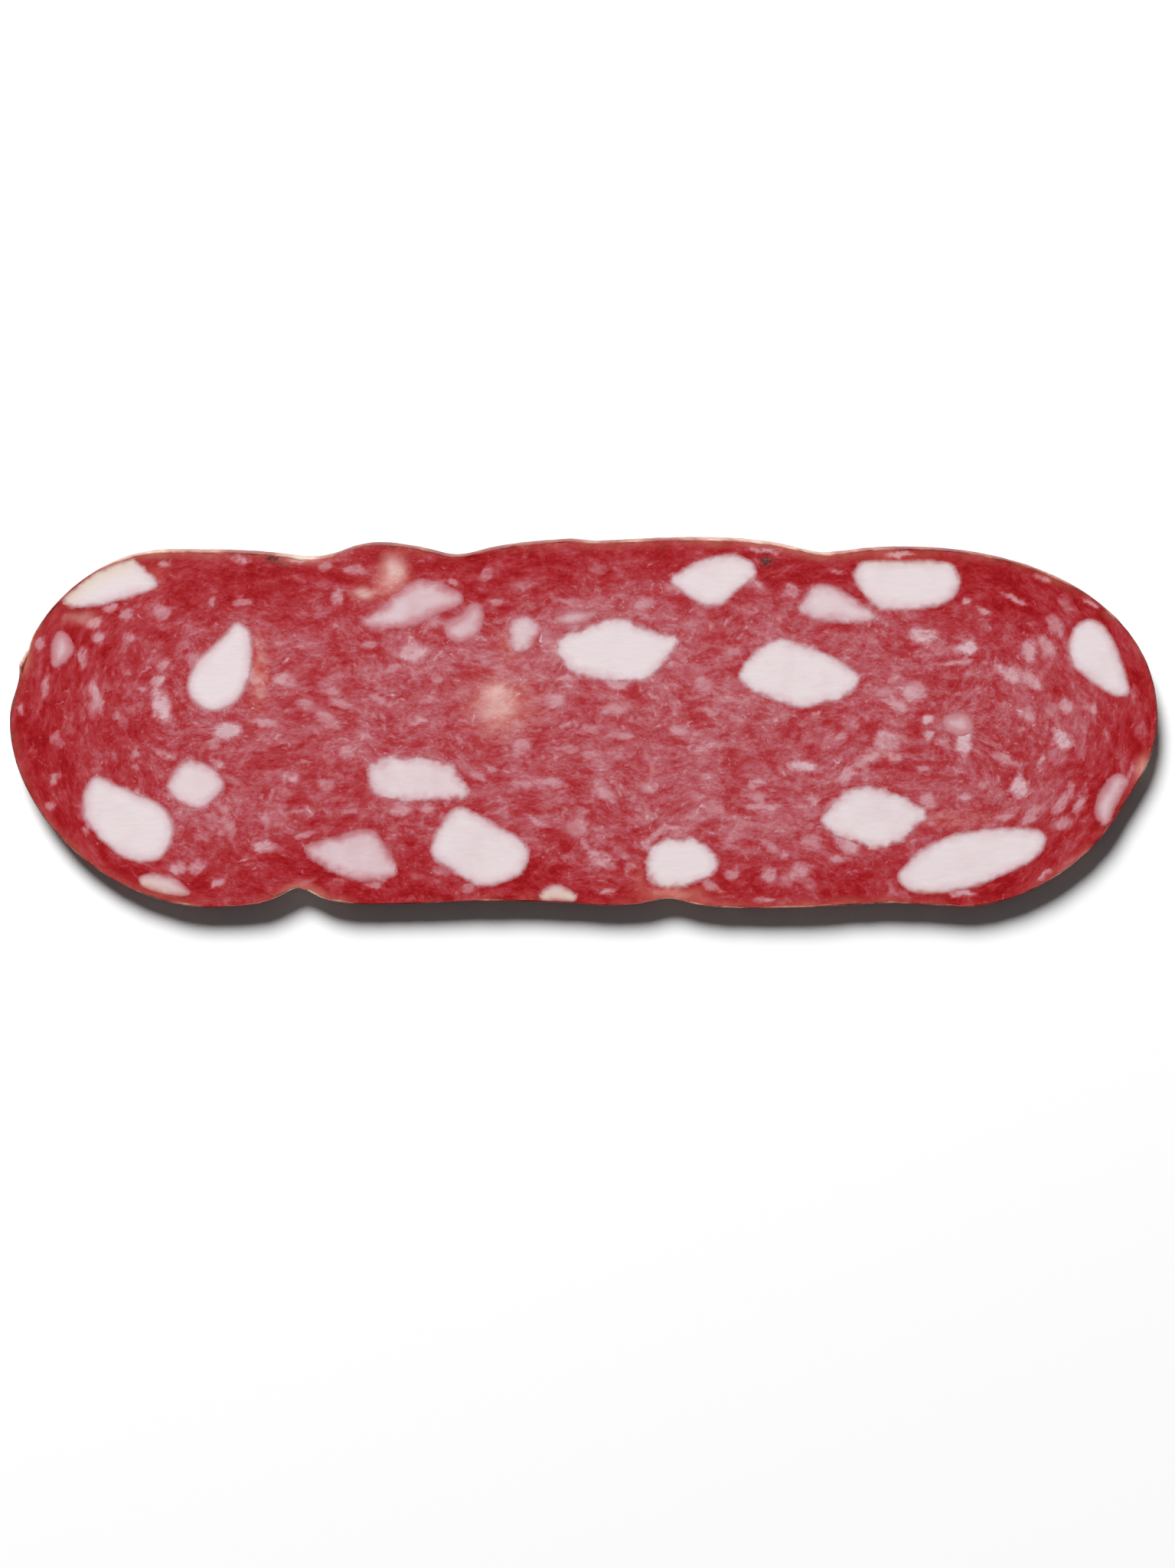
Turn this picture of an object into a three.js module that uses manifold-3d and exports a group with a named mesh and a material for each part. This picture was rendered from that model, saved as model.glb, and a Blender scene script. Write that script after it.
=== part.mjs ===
// One slice of a flat, pressed cured sausage, cut across the sausage: a lean mince with dice of back fat
// and cracked pepper set in it, inside a thin casing that runs round the rim.
// Millimetres. The slice lies on its underside, +Z up. +X runs along the slice and the origin is the
// middle of its underside.
import * as THREE from "three";
import { mergeVertices } from "three/addons/utils/BufferGeometryUtils.js";
import Module from "manifold-3d";

// ---- Driving dimensions ----
const SLICE_LENGTH = 120;
const SLICE_WIDTH = 39;
const SLICE_THICKNESS = 3;
const CASING_WALL = 0.3;
const DICE_SCALE = 1; // 1 is fat cut into dice about 10 mm across

// ---- Fits and small features ----
const SEAT_GAP = 0.3; // clearance between a piece and what it is seated in
const LEAN_FILM = 0.25; // the thinnest lean between two seats, and between a seat and the casing
const CUT_SLANT = 0.4; // how much further towards +Y the underside lies than the upper face
const CORNER_CUT = 1.7; // how far from a die's corner its rounding starts
const SHALLOW_DEPTH = 1.7; // a die that ends inside the slice
const SUNK_COVER = 0.8; // the lean over a die that shows on the underside only
const CHIP_DEPTH = 1.1; // a chip of cracked pepper
const EDGE_MARGIN = 0.5; // how far inside the mince's edge the middle of a piece stays
const OVERSHOOT = 1; // how far a cutting tool runs past the face that it cuts

// ---- The tear in the casing, at the slice's left end ----
const TEAR_HEIGHT = 6.6; // of the tear's middle over the slice's long axis
const TEAR_OPENING = 1.4;
const FLAP_LENGTH = 2.2;
const FLAP_LIFT = 0.5;

// ---- The rim ----
// Each quarter of the rim is a straight side and a rounded cap as long as `cap`. `inset` is how much
// lower that side lies than half the slice's width, and a cap with a fullness of 2 is a quarter ellipse.
const QUARTERS = {
  rightTop: { x: 1, y: 1, cap: 25.9, inset: 2, fullness: 2.27 },
  leftTop: { x: -1, y: 1, cap: 16.5, inset: 1.6, fullness: 1.97 },
  leftBottom: { x: -1, y: -1, cap: 21.3, inset: -0.1, fullness: 1.83 },
  rightBottom: { x: 1, y: -1, cap: 20.6, inset: -0.3, fullness: 1.7 },
};
// The strings that tied the sausage pressed grooves into its long sides, and it swelled between them.
// `at` is a share of half the length, `push` is outwards and `spread` is half a groove's width.
const SIDE_WAVES = {
  top: [
    { at: -0.45, push: -2.4, spread: 5.2 },
    { at: -0.39, push: 2, spread: 5.4 },
    { at: -0.22, push: -1.6, spread: 3.3 },
    { at: 0.23, push: 2.5, spread: 22 },
    { at: 0.417, push: -1.7, spread: 4.1 },
  ],
  bottom: [
    { at: -0.498, push: -2.2, spread: 2.2 },
    { at: -0.15, push: -0.9, spread: 12.5 },
    { at: 0.148, push: -1.1, spread: 2.4 },
    { at: 0.54, push: -0.85, spread: 8 },
  ],
};
// A hollow in the right end, where the casing was folded. `at` is a share of half the width.
const END_HOLLOW = { at: -0.42, push: -0.7, spread: 2.6 };
const CAP_STEPS = 32;
const SIDE_STEP = 1.25;

// ---- The dice of back fat ----
// `at` is a share of half the length and of half the width. `corners` go round the die on the upper
// face, from `at`, counter-clockwise. `spread` is the underside's size over the upper face's, and `lean`
// is how far the underside is shifted. A rim die lies against the casing.
const DICE = [
  {
    at: [-0.8, -0.51],
    corners: [
      [-3.2, 4.8], [-4.3, 2.9], [-4.4, 0.3], [-2.5, -2.2], [0.4, -4.5],
      [4, -4.4], [5.3, -1.1], [4.3, 1.4], [-0.2, 3.2],
    ],
    spread: 0.9,
    lean: [0.5, 0.3],
  },
  {
    at: [-0.81, 0.76],
    rim: true,
    corners: [[4.6, -0.4], [2.3, 1.6], [-0.9, 4.6], [-7.9, 0.6], [-5.6, -2.8], [-1.8, -2.5]],
    spread: 1.05,
    lean: [0.3, 0],
  },
  {
    at: [-0.634, 0.29],
    corners: [
      [1.8, 5.2], [0, 3.1], [-2.9, 0.4], [-3.7, -2.4],
      [-1.4, -4.6], [1.8, -3.7], [3.4, -0.4], [3.3, 4],
    ],
    spread: 0.85,
    lean: [-0.4, -0.5],
  },
  {
    at: [-0.908, 0.39],
    shallow: true,
    corners: [[-0.3, 2.3], [-1.1, 1], [-1.2, -1.9], [0.3, -1.2], [1.3, 0.2], [0.8, 1.5]],
    spread: 0.7,
    lean: [0.1, 0.2],
  },
  {
    at: [-0.675, -0.335],
    corners: [[-1.7, 2.7], [-3.6, -0.4], [-0.1, -2.9], [3.6, -0.1], [0.8, 2.7]],
    spread: 0.95,
    lean: [0.4, -0.2],
  },
  {
    at: [-0.733, -0.868],
    rim: true,
    shallow: true,
    corners: [[-2.8, 1], [-2, -0.3], [1.8, -1.1], [3.2, -0.9], [1.6, 0.6], [-0.4, 1.3]],
    spread: 0.8,
    lean: [0, 0.2],
  },
  {
    at: [-0.402, -0.703],
    corners: [
      [-5.8, 0.8], [-3.2, -1.3], [0.7, -2.9], [5.1, -2.3],
      [3.8, 0.4], [2, 3.1], [-1.8, 1.9],
    ],
    spread: 1.1,
    lean: [-0.3, 0.4],
  },
  {
    at: [-0.288, -0.287],
    corners: [
      [-5.6, 0.5], [-4.9, -1.7], [-1.7, -2.6], [3.1, -2.5],
      [5.6, -2], [3.7, 1.5], [0.3, 2.3], [-3.9, 2.1],
    ],
    spread: 0.88,
    lean: [0.6, 0],
  },
  {
    at: [-0.182, -0.665],
    corners: [
      [-1.9, 4.5], [-3.1, 3.8], [-5, 0.9], [-5.2, -0.9], [0.2, -4.3],
      [4.1, -3.2], [5.5, -0.8], [4.4, 1], [1.7, 2.4],
    ],
    spread: 0.93,
    lean: [0.2, 0.5],
  },
  {
    at: [-0.295, 0.645],
    corners: [
      [-6, -1.9], [-4.7, -2.6], [-0.3, -2.6], [2.5, -1.1], [5.7, 0.3],
      [3.7, 1.8], [1.1, 2.6], [-1.1, 2], [-2.9, -0.2],
    ],
    spread: 1.05,
    lean: [0.3, -0.5],
  },
  {
    at: [-0.208, 0.54],
    corners: [
      [1.1, 2.3], [-0.7, 0.7], [-2.1, -0.2], [-1.8, -1.6],
      [-0.3, -2.3], [1.7, -0.9], [2.2, 1.1],
    ],
    spread: 0.9,
    lean: [0.2, 0.3],
  },
  {
    at: [-0.105, 0.483],
    corners: [[-1.7, 1.7], [-1.6, -0.6], [-0.9, -2.2], [0.7, -1.9], [2, 0.5], [0.9, 1.8]],
    spread: 1.2,
    lean: [0.2, -0.3],
  },
  {
    at: [0.06, 0.41],
    corners: [
      [-6.4, 1], [-6.4, -0.9], [-4.8, -2.7], [-1.4, -3.6], [3, -3.5],
      [4.8, -1.8], [6.8, 1], [3, 1.8], [-0.2, 3.5], [-3.4, 2],
    ],
    spread: 0.95,
    lean: [-0.5, 0.2],
  },
  {
    at: [-0.013, 0.567],
    shallow: true,
    corners: [[-2.6, -0.1], [-1, -0.9], [1, -0.5], [2.6, 0.7], [-0.6, 0.9]],
    spread: 0.75,
    lean: [0, 0.1],
  },
  {
    at: [0.225, 0.772],
    corners: [
      [-5, 0], [-0.9, -2.8], [0.7, -2.8], [2.1, -1.5],
      [5, 0.8], [4, 2.1], [1.7, 2.8], [-1.7, 1.9],
    ],
    spread: 0.9,
    lean: [-0.2, -0.4],
  },
  {
    at: [0.377, 0.285],
    corners: [
      [-6.6, -0.3], [-6, -1.4], [-3, -3], [0, -4], [4.9, -2.9],
      [6.7, -0.5], [3.4, 1.6], [-1, 3.2], [-3.8, 3.1],
    ],
    spread: 0.9,
    lean: [0.4, 0.3],
  },
  {
    at: [0.435, 0.645],
    corners: [[-4.1, -0.5], [-2.1, -1.8], [1.5, -2], [5.3, -1.8], [0.7, 1.7], [-1.8, 2.3]],
    spread: 0.85,
    lean: [0, -0.3],
  },
  {
    at: [0.563, 0.747],
    corners: [
      [-5.8, 0.8], [-4.4, -1.2], [-2.8, -2.7], [1.8, -2.6], [4.8, -1.7],
      [5.7, 0.4], [4.8, 2.4], [-0.2, 2.4], [-4.8, 2.6],
    ],
    spread: 0.97,
    lean: [0.5, -0.3],
  },
  {
    at: [0.896, 0.362],
    corners: [
      [-3.4, 1.1], [-2.4, -1.5], [1.6, -4.3], [3.5, -4],
      [2.5, -0.7], [1.2, 2.7], [-0.8, 4.1], [-2.2, 3.4],
    ],
    spread: 0.9,
    lean: [-0.6, 0.2],
  },
  {
    at: [0.502, -0.497],
    corners: [
      [-5.7, -0.2], [-4.7, -1.7], [-1.9, -2.7], [0.7, -3.5], [3.3, -2.6],
      [6.2, 0.3], [3.7, 1.9], [0.3, 3.2], [-2.5, 3],
    ],
    spread: 0.92,
    lean: [0.2, 0.4],
  },
  {
    at: [0.67, -0.738],
    corners: [
      [-8, -1.7], [-5.8, -3.3], [-3.2, -3.4], [1.2, -2.5], [6.4, -0.2],
      [8, 1.4], [8, 3.3], [3.8, 3.5], [-1.4, 3], [-4.6, 1.5],
    ],
    spread: 0.95,
    lean: [-0.3, 0.5],
  },
  {
    at: [0.172, -0.75],
    corners: [
      [-4, -0.2], [-3.1, -2.3], [-1.1, -2.6], [2.3, -1.9],
      [4.1, -0.4], [2.9, 1.8], [0.3, 2.8], [-2.9, 2.3],
    ],
    spread: 0.9,
    lean: [0.3, 0.3],
  },
  {
    at: [0.918, -0.39],
    rim: true,
    corners: [[0.1, 1.9], [-1.6, -0.6], [-1.5, -2.5], [0.4, -3.2], [3.4, -0.4], [1.8, 2.5]],
    spread: 0.85,
    lean: [-0.2, 0.2],
  },
  {
    at: [-0.045, -0.915],
    rim: true,
    shallow: true,
    corners: [[-1.9, 0.1], [-1.4, -1.6], [2, -1.6], [1.7, 0.2], [-0.4, 1]],
    spread: 0.9,
    lean: [0, 0],
  },
  {
    at: [0.653, -0.005],
    shallow: true,
    corners: [[-1.9, 0.5], [-1.4, -0.7], [0.4, -1.3], [1.7, -0.5], [1.2, 1.2], [-0.6, 1.4]],
    spread: 0.8,
    lean: [0.1, 0],
  },
  {
    at: [-0.143, 0.08],
    sunk: true,
    corners: [[-2.8, 0.7], [-1.6, -2.3], [1.2, -2.5], [2.6, -0.7], [1.2, 1.9], [-1, 2.5]],
    spread: 1.25,
    lean: [0.3, -0.2],
  },
  {
    at: [-0.336, 0.815],
    sunk: true,
    corners: [[-1.2, -0.5], [-0.4, -1.7], [0.9, -1.2], [1.1, 1.3], [-0.6, 1.3]],
    spread: 1.1,
    lean: [0, 0.1],
  },
];

// ---- Chips of cracked pepper, in the upper face ----
const PEPPER_CHIPS = [
  { at: [0.317, 0.86], corners: [[-0.8, 0.5], [-0.6, -0.5], [0.1, -1], [0.9, -0.2], [0.6, 0.8]] },
  { at: [-0.543, 0.875], rim: true, corners: [[-0.7, 0.1], [-0.4, -0.5], [0.5, -0.5], [0.8, 0.2], [0.1, 0.6]] },
];

const wasm = await Module();
wasm.setup();

// ---- Outlines: closed lists of points, counter-clockwise ----

// How far a side is pushed out at `place` by these waves: each is a smooth hump or groove.
function pushed(place, waves, half) {
  const humps = waves.map((w) => w.push / (1 + ((place - w.at * half) / w.spread) ** 2));
  return humps.reduce((sum, hump) => sum + hump, 0);
}

// A quarter of the rim, from the end of the slice to the middle of its long side.
function quarterOfRim({ x, y, cap, inset, fullness }) {
  const halfLength = SLICE_LENGTH / 2;
  const shoulder = halfLength - cap;
  const height = SLICE_WIDTH / 2 - inset;
  const points = [];
  for (let i = 0; i < CAP_STEPS; i++) {
    const turn = ((i / CAP_STEPS) * Math.PI) / 2;
    const [along, up] = [Math.cos(turn) ** (2 / fullness), Math.sin(turn) ** (2 / fullness)];
    points.push([shoulder + cap * along, height * up]);
  }
  const steps = Math.round(shoulder / SIDE_STEP);
  for (let i = 0; i < steps; i++) points.push([shoulder * (1 - i / steps), height]);
  return points.map(([px, py]) => new THREE.Vector2(x * px, y * py));
}

// The whole rim, with its grooves, brought to the slice's exact length and width and centred.
function rimOutline() {
  const { rightTop, leftTop, leftBottom, rightBottom } = QUARTERS;
  const points = [
    ...quarterOfRim(rightTop),
    ...quarterOfRim(leftTop).reverse(),
    ...quarterOfRim(leftBottom),
    ...quarterOfRim(rightBottom).reverse(),
  ];
  const halfLength = SLICE_LENGTH / 2;
  const halfWidth = SLICE_WIDTH / 2;
  for (const p of points) {
    const waves = p.y > 0 ? SIDE_WAVES.top : SIDE_WAVES.bottom;
    const share = Math.min(1, Math.abs(p.y) / halfWidth);
    const hollow = pushed(p.y, [END_HOLLOW], halfWidth) * Math.max(0, p.x / halfLength) ** 4;
    p.set(p.x + hollow, p.y + Math.sign(p.y) * share ** 2 * pushed(p.x, waves, halfLength));
  }
  const box = new THREE.Box2().setFromPoints(points);
  const [centre, size] = [box.getCenter(new THREE.Vector2()), box.getSize(new THREE.Vector2())];
  const fit = new THREE.Vector2(SLICE_LENGTH / size.x, (SLICE_WIDTH - CUT_SLANT) / size.y);
  points.forEach((p) => p.sub(centre).multiply(fit));
  return points.filter((p, i) => p.distanceTo(points[(i + 1) % points.length]) > 0.05);
}

// The outline with every point moved outwards by `distance`, or inwards if it is negative.
function grown(outline, distance) {
  const n = outline.length;
  return outline.map((p, i) => {
    const along = outline[(i + 1) % n].clone().sub(outline[(i + n - 1) % n]).normalize();
    return new THREE.Vector2(p.x + along.y * distance, p.y - along.x * distance);
  });
}

// A polygon whose corners are rounded off from CORNER_CUT away, or from nearer on a short edge.
function roundedPolygon(corners) {
  const n = corners.length;
  const path = new THREE.Path();
  corners.forEach((corner, i) => {
    const [before, after] = [corners[(i + n - 1) % n], corners[(i + 1) % n]].map((other) => {
      const reach = Math.min(CORNER_CUT, 0.4 * corner.distanceTo(other));
      return corner.clone().add(other.clone().sub(corner).setLength(reach));
    });
    if (i) path.lineTo(before.x, before.y);
    else path.moveTo(before.x, before.y);
    path.quadraticCurveTo(corner.x, corner.y, after.x, after.y);
  });
  const points = path.getPoints(3);
  return points.filter((p, i) => p.distanceTo(points[(i + 1) % points.length]) > 1e-4);
}

// ---- Solids ----

function solidOf(geometry) {
  const bare = geometry.clone();
  bare.deleteAttribute("normal");
  bare.deleteAttribute("uv");
  const merged = mergeVertices(bare, 1e-5);
  const vertProperties = merged.attributes.position.array;
  const triVerts = new Uint32Array(merged.index.array);
  return new wasm.Manifold(new wasm.Mesh({ numProp: 3, vertProperties, triVerts }));
}

function geometryOf(solid) {
  const mesh = solid.getMesh();
  const geometry = new THREE.BufferGeometry();
  geometry.setAttribute("position", new THREE.BufferAttribute(new Float32Array(mesh.vertProperties), 3));
  geometry.setIndex(new THREE.BufferAttribute(new Uint32Array(mesh.triVerts), 1));
  return geometry;
}

// A block between two heights. Its section at a height z has each point p of the outline at moved(p, z).
function block(outline, low, high, moved = (p) => p) {
  const geometry = new THREE.ExtrudeGeometry(new THREE.Shape(outline), { depth: high - low, bevelEnabled: false });
  const place = geometry.attributes.position;
  for (let i = 0; i < place.count; i++) {
    const z = low + place.getZ(i);
    const p = moved(new THREE.Vector2(place.getX(i), place.getY(i)), z);
    place.setXYZ(i, p.x, p.y, z);
  }
  return solidOf(geometry);
}

const rim = rimOutline();
const minceEdge = grown(rim, -CASING_WALL - SEAT_GAP);

// The rim at its left end between two heights, going down, moved outwards by `distance`.
function leftRim(high, low, distance = 0) {
  const moved = grown(rim, distance);
  return moved.filter((_, i) => rim[i].x < -SLICE_LENGTH / 4 && rim[i].y < high && rim[i].y > low);
}

// The casing is a band round the rim. It is torn open at the left end, and its lower lip stands off.
function casing() {
  const band = block(rim, 0, SLICE_THICKNESS).subtract(
    block(grown(rim, -CASING_WALL), -OVERSHOOT, SLICE_THICKNESS + OVERSHOOT),
  );
  const lipTop = TEAR_HEIGHT - TEAR_OPENING / 2;
  const gap = [TEAR_HEIGHT + TEAR_OPENING / 2, lipTop - FLAP_LENGTH];
  const around = [...leftRim(...gap, OVERSHOOT), ...leftRim(...gap, -OVERSHOOT).reverse()];
  const lifted = (p) => {
    const raise = Math.max(0, (p.y - lipTop + FLAP_LENGTH) / FLAP_LENGTH);
    return new THREE.Vector2(p.x - FLAP_LIFT * raise ** 2, p.y);
  };
  const lip = [lipTop, lipTop - FLAP_LENGTH - 2 * SIDE_STEP];
  const flap = [...leftRim(...lip), ...leftRim(...lip, -CASING_WALL).reverse()].map(lifted);
  const torn = block(around, -OVERSHOOT, SLICE_THICKNESS + OVERSHOOT);
  return band.subtract(torn).add(block(flap, 0, SLICE_THICKNESS));
}

// Brings a place back inside the mince, if the slice is too narrow there for it.
function keptInside(place) {
  const side = minceEdge.filter((p) => p.y * place.y > 0);
  const nearest = side.reduce((best, p) => (Math.abs(p.x - place.x) < Math.abs(best.x - place.x) ? p : best));
  const limit = Math.abs(nearest.y) - EDGE_MARGIN;
  return place.setY(Math.max(-limit, Math.min(limit, place.y)));
}

// What every set-in piece shares: its outline on the upper face, the heights it spans and how it leans.
function setIn({ at, corners, spread = 1, lean = [0, 0], shallow, sunk, rim: onRim }, scale, depth) {
  const centre = keptInside(new THREE.Vector2((at[0] * SLICE_LENGTH) / 2, (at[1] * SLICE_WIDTH) / 2));
  const placed = corners.map(([x, y]) => new THREE.Vector2(x, y).multiplyScalar(scale).add(centre));
  const top = SLICE_THICKNESS - (sunk ? SUNK_COVER : 0);
  const bottom = shallow ? SLICE_THICKNESS - depth : 0;
  const shaped = (p, z) => {
    const down = 1 - z / SLICE_THICKNESS;
    const wide = 1 + (spread - 1) * down;
    const shift = new THREE.Vector2(...lean).multiplyScalar(down);
    return p.clone().sub(centre).multiplyScalar(wide).add(centre).add(shift);
  };
  const open = { top: !sunk, bottom: !shallow };
  return { outline: roundedPolygon(placed), shaped, top, bottom, open, onRim };
}

// The piece itself, half a SEAT_GAP inside its outline.
const asPiece = (piece) => block(grown(piece.outline, -SEAT_GAP / 2), piece.bottom, piece.top, piece.shaped);

// The seat it fits in, half a SEAT_GAP outside its outline, grown by `extra` and run past the open faces.
function asSeat(piece, extra = 0) {
  const low = piece.bottom - (piece.open.bottom ? OVERSHOOT : SEAT_GAP + extra);
  const high = piece.top + (piece.open.top ? OVERSHOOT : SEAT_GAP + extra);
  return block(grown(piece.outline, SEAT_GAP / 2 + extra), low, high, piece.shaped);
}

// The mince's blank without its outermost `margin`, taller than the slice by an overshoot at each face.
const within = (margin) => block(grown(minceEdge, -margin), -OVERSHOOT, SLICE_THICKNESS + OVERSHOOT);

// Where a cut leaves more than one body, only the largest counts.
const largest = (solid) => solid.decompose().sort((one, other) => other.volume() - one.volume())[0];

// Pairs of piece and seat. Each seat leaves LEAN_FILM to its neighbours' and to the casing, unless the piece
// lies against the casing, and each piece keeps SEAT_GAP inside its seat.
function fitted(pieces) {
  const [bare, filmOff, gapOff] = [0, LEAN_FILM, LEAN_FILM + SEAT_GAP].map(within);
  const [seatsTaken, piecesTaken] = [[], []];
  return pieces.map((piece) => {
    let seat = asSeat(piece);
    let solid = asPiece(piece).intersect(piece.onRim ? bare : gapOff);
    if (!piece.onRim) seat = seat.intersect(filmOff);
    for (const other of seatsTaken) seat = seat.subtract(other);
    for (const other of piecesTaken) solid = solid.subtract(other);
    seatsTaken.push(asSeat(piece, LEAN_FILM));
    piecesTaken.push(asSeat(piece, LEAN_FILM + SEAT_GAP));
    return { seat, solid: largest(solid) };
  });
}

const dicePieces = DICE.map((die) => setIn(die, DICE_SCALE, SHALLOW_DEPTH));
const chipPieces = PEPPER_CHIPS.map((chip) => setIn({ ...chip, shallow: true, spread: 0.6 }, 1, CHIP_DEPTH));
const inner = fitted([...chipPieces, ...dicePieces]); // the dice give way to the small chips

// The lean mince fills the casing, less a seat for each piece.
function leanMince() {
  const blank = block(minceEdge, 0, SLICE_THICKNESS);
  return largest(inner.reduce((lean, { seat }) => lean.subtract(seat), blank));
}

// ---- Materials ----
const leanMaterial = new THREE.MeshStandardMaterial({ color: 0xae3a45, roughness: 0.5, metalness: 0 });
const fatMaterial = new THREE.MeshStandardMaterial({ color: 0xe8dadc, roughness: 0.4, metalness: 0 });
const casingMaterial = new THREE.MeshStandardMaterial({ color: 0xd9b793, roughness: 0.6, metalness: 0 });
const pepperMaterial = new THREE.MeshStandardMaterial({ color: 0x2e2420, roughness: 0.7, metalness: 0 });

// ---- The slice ----
// The knife went through at a slant, so that everything leans towards +Y on its way down.
const slant = new THREE.Matrix4().makeShear(0, 0, 0, 0, 0, -CUT_SLANT / SLICE_THICKNESS);
slant.premultiply(new THREE.Matrix4().makeTranslation(0, CUT_SLANT / 2, 0));

const slice = new THREE.Group();
slice.name = "cured_sausage_slice";

function addNode(name, solid, material) {
  const mesh = new THREE.Mesh(geometryOf(solid).applyMatrix4(slant), material);
  mesh.name = name;
  slice.add(mesh);
}

const numbered = (name, i) => `${name}_${String(i + 1).padStart(2, "0")}`;
addNode("casing", casing(), casingMaterial);
addNode("lean_mince", leanMince(), leanMaterial);
inner.forEach(({ solid }, i) => {
  const isChip = i < PEPPER_CHIPS.length;
  const name = isChip ? numbered("pepper_chip", i) : numbered("fat_die", i - PEPPER_CHIPS.length);
  addNode(name, solid, isChip ? pepperMaterial : fatMaterial);
});

export default slice;
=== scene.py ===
# %% [markdown]
# # A slice of pressed salami
#
# The object is one slice of a flat, pressed cured sausage, cut across the sausage and lying on a pale
# surface. It has four kinds of piece: a lean mince speckled with ground fat, dice of back fat set in it,
# chips of cracked pepper, and the thin natural casing round the rim. The CAD model already fixes where
# every piece is and how big it is. This script gives each piece its real surface.
#
# We start by loading the CAD model as a fixed frame, and keep its box, which gives the slice's size.

from itertools import product

import bmesh
import bpy
import numpy as np
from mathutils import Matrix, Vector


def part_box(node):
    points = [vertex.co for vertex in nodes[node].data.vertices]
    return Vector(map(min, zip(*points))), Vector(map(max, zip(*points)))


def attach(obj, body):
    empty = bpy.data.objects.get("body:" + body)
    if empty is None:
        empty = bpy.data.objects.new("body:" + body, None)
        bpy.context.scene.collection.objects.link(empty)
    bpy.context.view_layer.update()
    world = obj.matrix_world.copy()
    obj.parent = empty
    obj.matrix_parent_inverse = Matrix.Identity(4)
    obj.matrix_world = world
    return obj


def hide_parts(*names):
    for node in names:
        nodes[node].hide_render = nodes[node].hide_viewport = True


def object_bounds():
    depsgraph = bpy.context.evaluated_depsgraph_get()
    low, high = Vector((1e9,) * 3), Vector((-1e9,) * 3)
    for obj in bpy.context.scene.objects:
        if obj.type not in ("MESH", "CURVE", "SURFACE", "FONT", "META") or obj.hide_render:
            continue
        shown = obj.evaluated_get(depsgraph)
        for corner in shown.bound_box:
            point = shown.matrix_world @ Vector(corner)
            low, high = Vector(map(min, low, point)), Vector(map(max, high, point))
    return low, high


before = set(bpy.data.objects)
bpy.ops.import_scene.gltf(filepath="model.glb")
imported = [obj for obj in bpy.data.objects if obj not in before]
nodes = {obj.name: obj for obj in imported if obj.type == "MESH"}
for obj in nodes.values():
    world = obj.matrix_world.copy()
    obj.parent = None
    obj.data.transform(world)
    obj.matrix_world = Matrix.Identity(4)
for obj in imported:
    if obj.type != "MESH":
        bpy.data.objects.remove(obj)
cad_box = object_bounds()
MM = 0.001  # Blender works in metres; the numbers below are millimetres

low, high = [np.array(corner) / MM for corner in cad_box]
LENGTH, WIDTH, THICKNESS = high - low
print("CAD slice, mm:", np.round(high - low, 2), "in", len(nodes), "nodes")

# %% [markdown]
# ## The camera
#
# The slice is seen from straight above, so the camera looks down -Z with its top towards +Y, which is how
# a new camera stands. A long lens from far away keeps the sides of the slice out of sight. The camera's
# height follows from the lens and from how much of the table the picture has to cover.

# %% Camera
LENS, SENSOR = 100.0, 36.0
VIEW_HEIGHT = 163.84  # what the frame's long side covers, at the height of the cut face
VIEW_CENTRE = (0.4, -6.5)
camera_data = bpy.data.cameras.new("camera")
camera_data.lens, camera_data.sensor_width = LENS, SENSOR
camera_data.clip_start = 0.01
camera = bpy.data.objects.new("camera", camera_data)
camera_height = THICKNESS + VIEW_HEIGHT * LENS / SENSOR
camera.location = np.array((*VIEW_CENTRE, camera_height)) * MM
bpy.context.scene.collection.objects.link(camera)
bpy.context.scene.camera = camera
bpy.context.scene.view_settings.view_transform = "Standard"
print("camera height, mm:", round(camera_height, 1))

# %% [markdown]
# ## Lamp and sky
#
# One soft lamp stands behind the slice, a little to the left, and throws a short shadow towards the
# viewer. The length of the shadow comes from the lamp's height, and its soft edge from the lamp's size. An
# area light shaped like a disk gives both. The lamp is far away, so that both ends of the slice are lit
# alike.
#
# The backdrop is white to the camera, but it gives the slice only a faint light of its own. Otherwise it
# would fill the shadow. The node that tells camera rays from other rays makes that difference.

# %% Lamp and sky
SUN_SIDE = np.array((-0.35, 0.94))  # the lamp stands on this side of the slice
LAMP_ELEVATION = np.radians(45)
LAMP_DISTANCE = 2.0  # metres
LAMP_SIZE = 0.8  # metres across
LAMP_WATTS = 61.0
SKY = 0.07  # the backdrop's light on the slice, where the camera sees 1
lamp_data = bpy.data.lights.new("key_lamp", "AREA")
lamp_data.shape, lamp_data.size, lamp_data.energy = "DISK", LAMP_SIZE, LAMP_WATTS
lamp = bpy.data.objects.new("key_lamp", lamp_data)
lamp_way = np.array((*SUN_SIDE * np.cos(LAMP_ELEVATION), np.sin(LAMP_ELEVATION)))
lamp.location = lamp_way * LAMP_DISTANCE
lamp.rotation_euler = (-lamp.location).to_track_quat("-Z", "Y").to_euler()
bpy.context.scene.collection.objects.link(lamp)

world = bpy.data.worlds.new("studio")
world.use_nodes = True
bpy.context.scene.world = world
sky = world.node_tree.nodes["Background"]
ray = world.node_tree.nodes.new("ShaderNodeLightPath")
seen = world.node_tree.nodes.new("ShaderNodeMath")
seen.operation = "MAXIMUM"
seen.inputs[1].default_value = SKY
sky.inputs["Color"].default_value = (1, 1, 1, 1)
world.node_tree.links.new(ray.outputs["Is Camera Ray"], seen.inputs[0])
world.node_tree.links.new(seen.outputs[0], sky.inputs["Strength"])
print("lamp at, m:", np.round(lamp.location, 3))

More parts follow.
